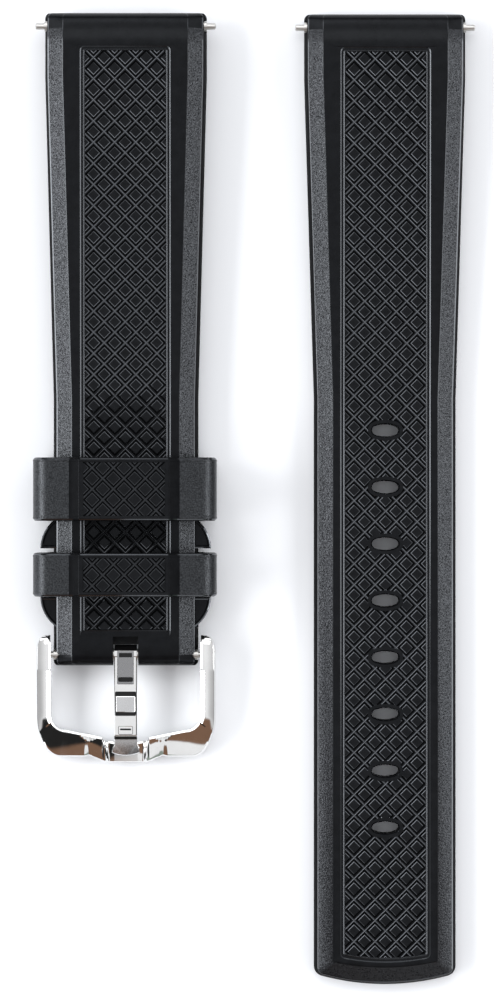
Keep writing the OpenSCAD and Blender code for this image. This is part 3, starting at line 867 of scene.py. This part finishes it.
def keeper_skin(shape, width, length, top):
    """The outside of a keeper but for its pad's top; gives the pad's corner and the outline of an end."""
    right = keeper_profile(width, top)
    outer = right + [(-x, z) for x, z in right[:0:-1]]
    seam = len(right) - 1
    stations = KEEPER_EDGE + [(length - y, inset) for y, inset in reversed(KEEPER_EDGE)]
    rings = [[(x, y, z) for x, z in inset_loop(outer, inset)] for y, inset in stations]
    middle = len(KEEPER_EDGE) - 1
    for k in range(len(rings) - 1):
        for i in range(len(outer)):
            if k == middle and i == seam:
                continue
            j = (i + 1) % len(outer)
            shiny = k in (EDGE_ROW, 2 * middle - EDGE_ROW) and outer[i][1] > top / 2
            quad = [rings[k][i], rings[k][j], rings[k + 1][j], rings[k + 1][i]]
            shape.add(quad, [(0, 1, 2, 3)], LINE if shiny else keeper_finish(outer[i], outer[j]))
    return rings[middle][seam], [(x, z) for x, _, z in rings[0]]


def make_keeper(node, body, shift, materials):
    low, high = mm_box(node)
    width, length = high.x - low.x, high.y - low.y
    shape = Shape()
    corner, face = keeper_skin(shape, width, length, high.z)
    fill_pad(shape, corner, length, shift)
    hole = keeper_opening(width, 0.0)
    flared = keeper_opening(width, OPENING_RIM)
    steps = [(0.0, flared), (OPENING_RIM, hole), (length - OPENING_RIM, hole), (length, flared)]
    shape.rows([[(x, y, z) for x, z in loop] for y, loop in steps], closed=True)
    for y in (0.0, length):
        flat, faces = fill([face, flared], [], between(face, [flared]))
        shape.add([(x, y, z) for x, z in flat], faces)
    thing = shape.to_object(node + "_rubber", placer(((low.x + high.x) / 2, low.y, 0)), materials)
    finish_shading(thing, FINE_ANGLE)
    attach(thing, body)
    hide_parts(node)


def keeper_opening(width, grow):
    """The inner outline of a keeper, grown by an amount. Both keepers have the fixed one's height."""
    half = width / 2 - KEEPER_WALL
    top = mm_box("fixed_keeper")[1].z - KEEPER_PAD - KEEPER_ROOF
    return rounded_rectangle(half + grow, KEEPER_FLOOR - grow, top + grow, OPENING_R + grow)


def fill_pad(shape, corner, length, shift):
    """The top of a keeper's pad, with its panel of diamonds; y runs from one end to the other."""
    x, start, top = corner
    loop = [(x, start), (x, length - start), (-x, length - start), (-x, start)]
    panel = Panel(PANEL_W / 2, KEEPER_RIM, length - KEEPER_RIM)
    diamonds = Diamonds(shift * PITCH, length / 2, KEEPER_PLATE, KEEPER_RIDGE, KEEPER_RELIEF)
    edge = panel.outline(0)
    flat, faces = fill([loop, edge, panel.outline(PAD_WALL)], diamonds.lines(edge), between(loop))
    x, y = flat.T
    share = np.clip(panel.distance(x, y) / PAD_WALL, 0, 1)
    points = np.column_stack([flat, top + diamonds.height(x, y) * (1 - share)])
    shape.add(points, faces, pattern_finish(points, faces, lambda p: top))


# Buckle

def ease(x, a, b):
    """0 at a and 1 at b, with a soft start and end."""
    t = min(1.0, max(0.0, (x - a) / (b - a)))
    return t * t * (3 - 2 * t)


def frame_outline(across, height, bevel, cut, slope, drop, turn_from):
    """A section of the frame from its inner side over its top to its outer side and back below."""
    start = bevel / across
    points = [(0.0, 0.5), (0.0, 1 - 0.6 * bevel / height - cut)]
    for t in [*np.linspace(0, turn_from, 13), *(turn_from + (1 - turn_from) * np.sin(QUARTER[1:]))]:
        q = min(1 - slope * t - drop * t ** 1.6, 1 - cut)
        if t > turn_from:
            turn = (t - turn_from) / (1 - turn_from)
            q = SIDE_HEIGHT + (q - SIDE_HEIGHT) * math.sqrt(max(0.0, 1 - turn * turn))
        points.append((start + (1 - start) * t, q))
    return points + UNDER_SIDE


def peak(x, half):
    """1 at the notch of the front and 0 from a distance beside it."""
    return max(0.0, 1 - abs(x - NOTCH_AT) / half)


class Frame:
    """The buckle's frame about its bar, in millimetres."""

    def __init__(self):
        low, high = mm_box("buckle_frame")
        bar_low, bar_high = mm_box("buckle_bar_tube")
        self.axis = (bar_low + bar_high) / 2
        self.x_out = (high.x - low.x) / 2
        self.x_in = BUCKLE_INNER / 2
        self.reach = self.axis.y - low.y - CRADLE_REACH
        self.ear_back = high.y - self.axis.y

    def section(self, inner, outer, squeeze=1.0, front=0.0, dip=0.0, cut=0.0):
        forward = min(1.0, max(0.0, -(inner[1] + outer[1]) / 2 / (self.reach - FRONT_FROM)))
        middle = (FRONT_H / 2 - self.axis.z) * forward
        half = (EAR_HALF + (FRONT_H / 2 - EAR_HALF) * forward) * squeeze
        bottom, top = middle - half, middle + half - dip
        reach = -inner[1]
        wide = (ease(reach, BEVEL_START, BEVEL_START + BEVEL_EASE)
                * ease(reach, BEVEL_END, BEVEL_END - BEVEL_EASE))
        bevel = BEVEL_W + BEVEL_ADDS * max(wide, FRONT_BEVEL * front)
        upper = [arm + adds * front for arm, adds in zip(ARM_TOP, FRONT_ADDS)]
        outline = frame_outline(math.dist(inner, outer), top - bottom, bevel, cut / (top - bottom), *upper)
        return [(inner[0] + p * (outer[0] - inner[0]), inner[1] + p * (outer[1] - inner[1]),
                 bottom + q * (top - bottom)) for p, q in outline]

    def ear(self):
        for a in QUARTER:
            y = self.ear_back - (self.ear_back - EAR_FROM) * (1 - math.cos(a))
            outer = (self.x_out - EAR_CORNER * (1 - math.sin(a)), y)
            yield self.section((self.x_in, y), outer, squeeze=EAR_TIP + (1 - EAR_TIP) * math.sin(a))

    def arm(self, bend_y):
        for y in np.linspace(EAR_FROM, bend_y, 60)[1:-1]:
            yield self.section((self.x_in, y), (self.x_out, y))

    def corner(self, bend_y):
        for a in np.radians(np.linspace(0, 90, 46)):
            back, out = 1 - math.sin(a), 1 - math.cos(a)
            inner = (self.x_in - INNER_CORNER * out, bend_y - INNER_CORNER * math.sin(a))
            outer = (self.x_out - OUTER_CORNER_X * out, OUTER_CORNER_Y * back - self.reach)
            yield self.section(inner, outer, front=ease(a, 0, math.pi / 2))

    def front(self, bar_x, bar_y):
        lip = CRADLE_HALF + CRADLE_SIDE
        facet = NOTCH_AT + FACET_HALF
        for x in [*np.linspace(bar_x, facet, 8)[1:-1], *np.linspace(facet, 0, 76)]:
            swell = CRADLE_REACH * (1 - ease(x, lip - SWELL_EASE, NOTCH_AT)) - NOTCH_CUT * peak(x, NOTCH_HALF)
            beside = BESIDE_CUT * (1 - ease(x, lip + BESIDE_EASE[0], lip + BESIDE_EASE[1]))
            inner = (x, bar_y - BAR_SLOPE * (bar_x - max(x, BAR_FLAT)) - beside)
            dip = CRADLE_DIP * (1 - ease(x, CRADLE_HALF, lip))
            cut = FACET_CUT * peak(x, FACET_HALF)
            yield self.section(inner, (x, -self.reach - swell), front=1.0, dip=dip, cut=cut)

    def rings(self):
        bar_x = self.x_in - INNER_CORNER
        bar_y = FRONT_W - self.reach
        bend_y = bar_y + INNER_CORNER
        side = [*self.ear(), *self.arm(bend_y), *self.corner(bend_y), *self.front(bar_x, bar_y)]
        return side + [[(-x, y, z) for x, y, z in ring] for ring in side[-2::-1]]


def make_buckle_frame(frame_shape, material):
    x, y, z = frame_shape.axis
    thing = solid(frame_shape.rings()).to_object("buckle_frame_steel", placer((x, y, z)), [material])
    for side in (-1, 1):
        place = placer((x + side * frame_shape.x_in, y, z))
        combine(thing, cylinder_along_x((0, 0), TIP_BORE_R, TIP_BORE_L, 32), place, [material])
    finish_shading(thing, FRAME_ANGLE)
    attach(thing, "buckle")
    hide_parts("buckle_frame")


def rounded_distance(x, s, half, start, end, r):
    """Distance from the edge of a rounded rectangle, negative inside."""
    dx = np.abs(x) - half + r
    ds = np.abs(s - (start + end) / 2) - (end - start) / 2 + r
    return box_distance(dx, ds) - r


class Tongue:
    """The tongue's arm, s being the distance from the bar's axis towards the tip."""

    # Recesses in its top: half width, start, end, corner and depth
    RECESSES = [
        (1.03, -0.47, 3.62, 0.12, 0.07), (0.8, -0.23, 0.3, 0.25, 0.3), (0.92, 2.74, 3.32, 0.2, 0.3),
        (1.29, 4.5, 7.5, 0.16, 0.22), (0.9, 8.75, 9.8, 0.14, 0.05), (0.68, 9.05, 9.27, 0.08, 0.25),
    ]
    WALL_W = 0.06
    # The pad in the widest of them: half width, start, end and corner, and the surface across its edge
    PAD = (1.17, 5.1, 7.03, 0.1)
    PAD_STEPS = [-0.06, 0, 0.05]
    PAD_HEIGHTS = [0, -0.04, -0.22]
    TOP = EYE_R - 0.05
    START = -0.6
    STEP = (10.0, 10.44)
    FLARE = (11.0, 12.0)
    TIP_SIDE = 12.06
    # How far inside an edge a finish begins, and the height below which shade is painted on the steel as
    # near-black colour
    SATIN_EDGE = -0.03
    PALE_EDGE = -0.04
    SHADE_BELOW = -0.12

    def __init__(self, reach):
        self.reach = reach
        top = self.TOP
        under = EYE_R - TONGUE_T
        self.upper = [(self.START, top - 0.1), (self.START + 0.1, top), (9.85, top), (9.95, top - 0.03),
                      (10.02, top - 0.1), (10.42, 0.78), (10.6, 0.755), (11.2, 0.7), (11.75, 0.64),
                      (12.1, 0.55), (reach - 0.14, 0.45), (reach, 0.28)]
        self.lower = [(self.START, 0.3), (0.0, under), (reach - 3.0, under), (reach - 2.75, under - 0.04),
                      (reach - 2.4, -0.26), (reach - 2.2, TIP_FLOOR), (reach - 0.2, TIP_FLOOR), (reach, -0.2)]

    def outline(self, inset=0.0):
        """Plan outline, counter-clockwise from the back on the right side."""
        half, tip = TONGUE_W / 2, TIP_W / 2
        flare = [(half + (tip - half) * ease(s, *self.FLARE), s) for s in np.linspace(*self.FLARE, 9)]
        sagitta = self.reach - self.TIP_SIDE
        r = (tip * tip + sagitta * sagitta) / (2 * sagitta)
        turn = math.degrees(math.asin(tip / r))
        end = arc((0, self.reach - r), r, 90 - turn, 90 + turn, 17)
        along = {round(s, 4) for s, _ in self.upper + self.lower}
        straight = sorted(s for s in along if self.START <= s < self.FLARE[0])
        right = [(half, s) for s in straight] + flare
        loop = right + end + [(-x, s) for x, s in reversed(right)]
        return inset_loop(loop, inset) if inset else loop

    def relief(self, x, s):
        """Heights of the recesses and the pad against the top."""
        low = np.zeros(len(x))
        for *recess, deep in self.RECESSES:
            off = rounded_distance(x, s, *recess)
            low = np.minimum(low, np.interp(off, [-self.WALL_W, 0], [-deep, 0]))
        off = rounded_distance(x, s, *self.PAD)
        pad = np.maximum(low, np.interp(off, self.PAD_STEPS, self.PAD_HEIGHTS))
        return np.where(off < self.WALL_W, pad, low)

    def finish(self, x, s):
        """Satin in the first recess, pale on the pad and at the tip, and painted shade in near-black steel
        where it is deep and on the step.
        """
        satin = rounded_distance(x, s, *self.RECESSES[0][:4]) < self.SATIN_EDGE
        pale = (rounded_distance(x, s, *self.PAD) < self.PALE_EDGE) | (s > self.STEP[1])
        deep = (self.relief(x, s) < self.SHADE_BELOW) | ((s > self.STEP[0]) & (s < self.STEP[1]))
        return np.where(deep, PAINTED_SHADE_STEEL, np.where(satin, SATIN, np.where(pale, PALE_SATIN, POLISHED)))

    def grown(self, half, start, end, r, grow):
        return rounded_rectangle(half + grow, start - grow, end + grow, max(r + grow, 0.03))

    def face(self, shape, heights, chamfer, upwards):
        """The tongue's top or its underside; gives the loop at its chamfer's foot."""
        loop = self.outline()
        half = TONGUE_W / 2
        lines = [[(half, s), (-half, s)] for s, _ in heights if self.START < s < self.FLARE[0]]
        loops = [loop, self.outline(chamfer)]
        if upwards:
            loops += [self.grown(*recess, grow) for *recess, _ in self.RECESSES for grow in (0, -self.WALL_W)]
            loops += [self.grown(*self.PAD, grow) for grow in self.PAD_STEPS[::-1]]
        flat, faces = fill(loops, lines, between(loop))
        on_edge = {(round(x, 4), round(s, 4)) for x, s in loop}
        rim = [(round(float(x), 4), round(float(s), 4)) in on_edge for x, s in flat]
        step = -chamfer if upwards else chamfer
        z = np.interp(flat[:, 1], *zip(*heights)) + np.where(rim, step, 0)
        if upwards:
            z = z + self.relief(*flat.T)
        points = np.column_stack([flat, z])
        x, s, _ = points[faces].mean(axis=1).T
        shape.add(points, faces, self.finish(x, s) if upwards else POLISHED)
        level = np.interp([s for _, s in loop], *zip(*heights)) + step
        return [(x, s, z) for (x, s), z in zip(loop, level)]

    def shape(self):
        shape = Shape()
        over = self.face(shape, self.upper, TOP_CHAMFER, True)
        under = self.face(shape, self.lower, UNDER_CHAMFER, False)
        shape.strip(over, under, closed=True)
        return shape


def make_tongue(frame_shape, materials):
    place = placer(frame_shape.axis, y=-1)
    tongue = Tongue(frame_shape.reach - TONGUE_GAP)
    thing = tongue.shape().to_object("buckle_tongue_steel", place, materials)
    eye = cylinder_along_x((0, 0), EYE_R - EYE_GAP, TONGUE_W - EYE_GAP, 96)
    combine(thing, eye, place, materials[:1], "UNION")
    # The recess boxes: the first cut in satin, the deep second one with painted shade in near-black steel
    for (half, start, end, _, deep), finish in zip(tongue.RECESSES, (SATIN, PAINTED_SHADE_STEEL)):
        far = (half, min(end, RECESS_CUT[0]), RECESS_CUT[1])
        combine(thing, box_shape((-half, start, tongue.TOP - deep), far, finish), place, materials)
    combine(thing, cylinder_along_x((0, 0), BAR_BORE_R, 2 * TONGUE_W), place, materials[:1])
    finish_shading(thing, FINE_ANGLE)
    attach(thing, "tongue")
    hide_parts("buckle_tongue")


# Spring bars

def make_spring(node, material):
    """A bar's wound spring, cut at its middle into two halves that are each attached to the bar's body."""
    low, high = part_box(node)
    middle = (low + high) / 2
    bar = node.removesuffix("_bar_spring")
    for side, word in ((-1, "left"), (1, "right")):
        bm = bmesh.new()
        bm.from_mesh(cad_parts[node].data)
        bm.transform(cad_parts[node].matrix_world)
        bmesh.ops.bisect_plane(bm, geom=[*bm.verts, *bm.edges, *bm.faces], plane_co=middle,
                               plane_no=(side, 0, 0), clear_inner=True)
        bmesh.ops.holes_fill(bm, edges=bm.edges)
        mesh = bpy.data.meshes.new(node + "_" + word)
        bm.to_mesh(mesh)
        bm.free()
        mesh.materials.clear()
        mesh.materials.append(material)
        thing = link_object(mesh.name, mesh)
        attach(thing, "buckle" if bar == "buckle" else bar + "_bar")
        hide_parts(node)
        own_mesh(thing)


# Materials: scales of their noise, tints of the rubber and where a tint's ramp begins and ends

MOTTLE_SCALE = 900
SMUDGE_SCALE = 350
WEAR_SCALE = 2500
TINT_ENDS = (0.35, 0.65)
RUBBER_BLACK = (0.004, 0.0042, 0.0048)
RUBBER_SHEEN = (0.88, 0.93, 1.0, 1)
FINE_GRAIN = 9000
FINE_DEPTH = 0.000001

# Rubber of the halves in the order of the finishes, then of the keepers' outside and of its edges, each with
# its colour, roughness, specular level, scale and depth of the grain, speckle and index of refraction
RUBBERS = [
    ("smooth_rubber", RUBBER_BLACK, 0.23, 0.12, FINE_GRAIN, 2 * FINE_DEPTH, 0.3),
    ("grained_rubber", (0.006, 0.006, 0.0068), 0.26, 0.42, 5500, 0.000052, 0.9),
    ("matte_rubber", RUBBER_BLACK, 0.55, 0.05, 6000, 0.00001),
    ("edge_rubber", RUBBER_BLACK, 0.07, 0.5, FINE_GRAIN, FINE_DEPTH, 0.2, 1.85),
    ("line_rubber", RUBBER_BLACK, 0.2, 0.45, FINE_GRAIN, FINE_DEPTH, 0.2),
    ("side_rubber", RUBBER_BLACK, 0.5, 0.005, 6000, 0.00001),
    ("rim_rubber", RUBBER_BLACK, 0.16, 0.5, FINE_GRAIN, FINE_DEPTH, 0.2, 1.65),
    ("keeper_rubber", (0.005, 0.0054, 0.006), 0.36, 0.5, 6000, 0.00003, 0.8),
    ("keeper_edge", RUBBER_BLACK, 0.1, 0.4, FINE_GRAIN, FINE_DEPTH),
]

# Steel of the buckle in the order of its finishes, then of the spring bars: colour, roughness and streaks
STEELS = [
    ("polished_steel", (0.81, 0.805, 0.795), 0.07),
    ("satin_steel", (0.28, 0.28, 0.285), 0.22, 0.08),
    ("pale_satin_steel", (0.6, 0.6, 0.605), 0.2, 0.08),
    # Painted shade: near-black steel for the tongue's deep recesses and its step
    ("deep_steel", (0.03, 0.03, 0.03), 0.3, 0.1),
    ("brushed_steel", (0.62, 0.61, 0.59), 0.28, 0.1),
]


def feed(tree, node, inputs):
    """Links a node's inputs to sockets or sets them to values."""
    for name, value in inputs.items():
        if isinstance(value, bpy.types.NodeSocket):
            tree.links.new(value, node.inputs[name])
        else:
            node.inputs[name].default_value = value


def add_node(tree, kind, output, inputs, **settings):
    """A shader node with its settings and inputs; gives one of its outputs."""
    node = tree.nodes.new("ShaderNode" + kind)
    for name, value in settings.items():
        setattr(node, name, value)
    feed(tree, node, inputs)
    return node.outputs[output]


def new_material(name):
    material = bpy.data.materials.new(name)
    material.use_nodes = True
    return material, material.node_tree, material.node_tree.nodes["Principled BSDF"]


def add_noise(tree, scale, detail=3.0, roughness=0.55):
    coords = add_node(tree, "TexCoord", "Object", {})
    return add_node(tree, "TexNoise", "Fac",
                    {"Scale": scale, "Detail": detail, "Roughness": roughness, "Vector": coords})


def tint(tree, scale, colour, darker, lighter):
    """A colour between a darker and a lighter share of it."""
    noise = add_noise(tree, scale)
    ramp = tree.nodes.new("ShaderNodeValToRGB")
    for element, position, share in zip(ramp.color_ramp.elements, TINT_ENDS, (darker, lighter)):
        element.position = position
        element.color = (*(c * share for c in colour), 1)
    feed(tree, ramp, {"Fac": noise})
    return ramp.outputs["Color"]


def rubber(name, colour, roughness, specular, grain_scale, grain_depth, speckle=0.1, ior=1.5):
    """Moulded rubber with a fine grain, its glints as strong as the speckle, and a slight mottle."""
    material, tree, shader = new_material(name)
    colour = tint(tree, MOTTLE_SCALE, colour, 0.8, 1.25)
    grain = add_noise(tree, grain_scale, detail=4.0, roughness=0.6)
    sheen = add_node(tree, "MapRange", "Result", {
        "From Min": 0.3, "From Max": 0.7, "To Min": specular * (1 - speckle),
        "To Max": specular * (1 + speckle), "Value": grain})
    bump = add_node(tree, "Bump", "Normal", {"Strength": 1.0, "Distance": grain_depth, "Height": grain})
    feed(tree, shader, {"Base Color": colour, "Roughness": roughness, "IOR": ior, "Normal": bump,
                        "Specular Tint": RUBBER_SHEEN, "Specular IOR Level": sheen})
    return material


def steel(name, colour, roughness, streaks=0.0):
    """Steel, polished or lightly brushed."""
    material, tree, shader = new_material(name)
    colour = tint(tree, SMUDGE_SCALE, colour, 0.95, 1)
    wear = add_node(tree, "MapRange", "Result", {
        "Value": add_noise(tree, WEAR_SCALE, detail=5.0),
        "To Min": roughness * 0.7, "To Max": roughness * 1.4 + streaks})
    feed(tree, shader, {"Metallic": 1.0, "Base Color": colour, "Roughness": wear})
    return material


# Floor, lights and camera

FLOOR_SIZE = 1.6
CAMERA_X = -0.00106
CAMERA_H = 0.45
FRAME_HEIGHT = 0.1232
FOCUS_Z = 0.003
CEILING_LIGHT = (1.0, 1.01, 1.03, 1)
DARK_LIGHT = (0.02, 0.02, 0.02, 1)
SIDE_LIGHT = (0.5, 0.5, 0.51, 1)
BROWN_LIGHT = (0.225, 0.13, 0.085, 1)
GREY_LIGHT = (0.3, 0.35, 0.31, 1)
LEFT_LIGHT = (3.2, 3.25, 3.35, 1)
RIGHT_LIGHT = (2.1, 2.13, 2.2, 1)
LOW_LIGHT = (0.04, 0.04, 0.04, 1)
BELOW_LIGHT = (0.8, 0.8, 0.82, 1)
FLOOR_COLOUR = (0.845, 0.86, 0.885, 1)

# Soft borders between parts of the world, each from where the second part is absent to where it is full
CEILING_SIDE = (0.3, 0.65)
RING_SIDE = (-0.3, 0.3)
RING_TOP = (0.54, 0.52)
RING_FOOT = (0.45, 0.24)
SCREEN_FRONT = (-0.27, -0.33)
SCREEN_SIDE = (0.5, 0.42)
BROWN_FOOT = (0.62, 0.58)
GREY_TOP = (0.26, 0.22)
FIGURE_FOOT = (0.56, 0.46)
FIGURE_SIDE = (-0.025, -0.045)
HORIZON = (0.0, -0.02)

# Area lights: name, place, size and power
LIGHTS = [("left", (-0.5, 0.0, 0.32), (0.5, 0.18), 2.5), ("right", (0.5, 0.0, 0.32), (0.5, 0.18), 1.5),
          ("back", (0.0, 0.5, 0.7), (0.8, 0.3), 1.2)]


def make_floor():
    material, tree, shader = new_material("floor")
    feed(tree, shader, {"Base Color": FLOOR_COLOUR, "Roughness": 0.9, "Specular IOR Level": 0.1})
    half = FLOOR_SIZE / 2
    corners = [(-half, -half, 0), (half, -half, 0), (half, half, 0), (-half, half, 0)]
    mesh = bpy.data.meshes.new("floor")
    mesh.from_pydata(corners, [], [(0, 1, 2, 3)])
    mesh.materials.append(material)
    thing = link_object("floor", mesh)


def smooth_step(tree, value, start, end):
    """0 before start and 1 after end, with a soft edge."""
    return add_node(tree, "MapRange", "Result", {"From Min": start, "From Max": end, "Value": value},
                    interpolation_type="SMOOTHSTEP")


def mix_colour(tree, share, first, second):
    """The second colour over the first, each a socket or a value."""
    return add_node(tree, "Mix", "Result", {"Factor": share, "A": first, "B": second}, data_type="RGBA")


def make_world():
    """A pale ceiling with a dark figure and a brown screen in front, over a bright ring of light."""
    world = bpy.data.worlds.new("studio")
    bpy.context.scene.world = world
    world.use_nodes = True
    tree = world.node_tree
    coords = add_node(tree, "TexCoord", "Generated", {})
    side, back, up = add_node(tree, "SeparateXYZ", "X", {"Vector": coords}).node.outputs
    off_side = add_node(tree, "Math", "Value", {0: side}, operation="ABSOLUTE")

    def over(first, second, along, border):
        return mix_colour(tree, smooth_step(tree, along, *border), first, second)

    colour = over(CEILING_LIGHT, SIDE_LIGHT, off_side, CEILING_SIDE)
    ring = over(LEFT_LIGHT, RIGHT_LIGHT, side, RING_SIDE)
    colour = over(colour, ring, up, RING_TOP)
    colour = over(colour, LOW_LIGHT, up, RING_FOOT)
    screen = {0: smooth_step(tree, back, *SCREEN_FRONT), 1: smooth_step(tree, off_side, *SCREEN_SIDE)}
    screen = add_node(tree, "Math", "Value", screen, operation="MULTIPLY")
    right = over(BROWN_LIGHT, CEILING_LIGHT, up, BROWN_FOOT)
    right = over(right, GREY_LIGHT, up, GREY_TOP)
    left = over(DARK_LIGHT, BROWN_LIGHT, up, FIGURE_FOOT)
    in_front = over(right, left, side, FIGURE_SIDE)
    colour = mix_colour(tree, screen, colour, in_front)
    colour = over(colour, BELOW_LIGHT, up, HORIZON)
    feed(tree, tree.nodes["Background"], {"Color": colour})


def make_light(name, location, size, power):
    """An area light that shines on the origin."""
    light = bpy.data.lights.new(name, "AREA")
    light.shape = "RECTANGLE"
    light.size, light.size_y = size
    light.energy = power
    thing = link_object(name, light)
    thing.location = location
    thing.rotation_euler = (-Vector(location)).to_track_quat("-Z", "Y").to_euler()


def make_camera():
    data = bpy.data.cameras.new("camera")
    data.sensor_width = 36.0
    data.lens = data.sensor_width * (CAMERA_H - FOCUS_Z) / FRAME_HEIGHT
    data.clip_start = 0.01
    camera = link_object("camera", data)
    camera.location = (CAMERA_X, 0, CAMERA_H)
    bpy.context.scene.camera = camera


make_camera()
make_floor()
make_world()
for light in LIGHTS:
    make_light(*light)
bpy.context.scene.view_settings.view_transform = "Standard"

*straps, keeper_side, keeper_edge = (rubber(*values) for values in RUBBERS)
keepers = [straps[PLAIN], keeper_side, straps[DULL], keeper_edge, straps[EDGE]]
*steels, brushed = (steel(*values) for values in STEELS)
make_strap(Half("short_strap", BUCKLE_W, True), straps)
make_strap(Half("long_strap", TAIL_W, False), straps)
make_keeper("sliding_keeper", "keeper", 0.0, keepers)
make_keeper("fixed_keeper", "straps", 0.5, keepers)
buckle = Frame()
make_buckle_frame(buckle, steels[POLISHED])
make_tongue(buckle, steels)
for name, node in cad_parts.items():
    if name.endswith("_bar_spring"):
        make_spring(name, brushed)
    elif "_bar_" in name:
        node.data.materials.clear()
        node.data.materials.append(brushed)
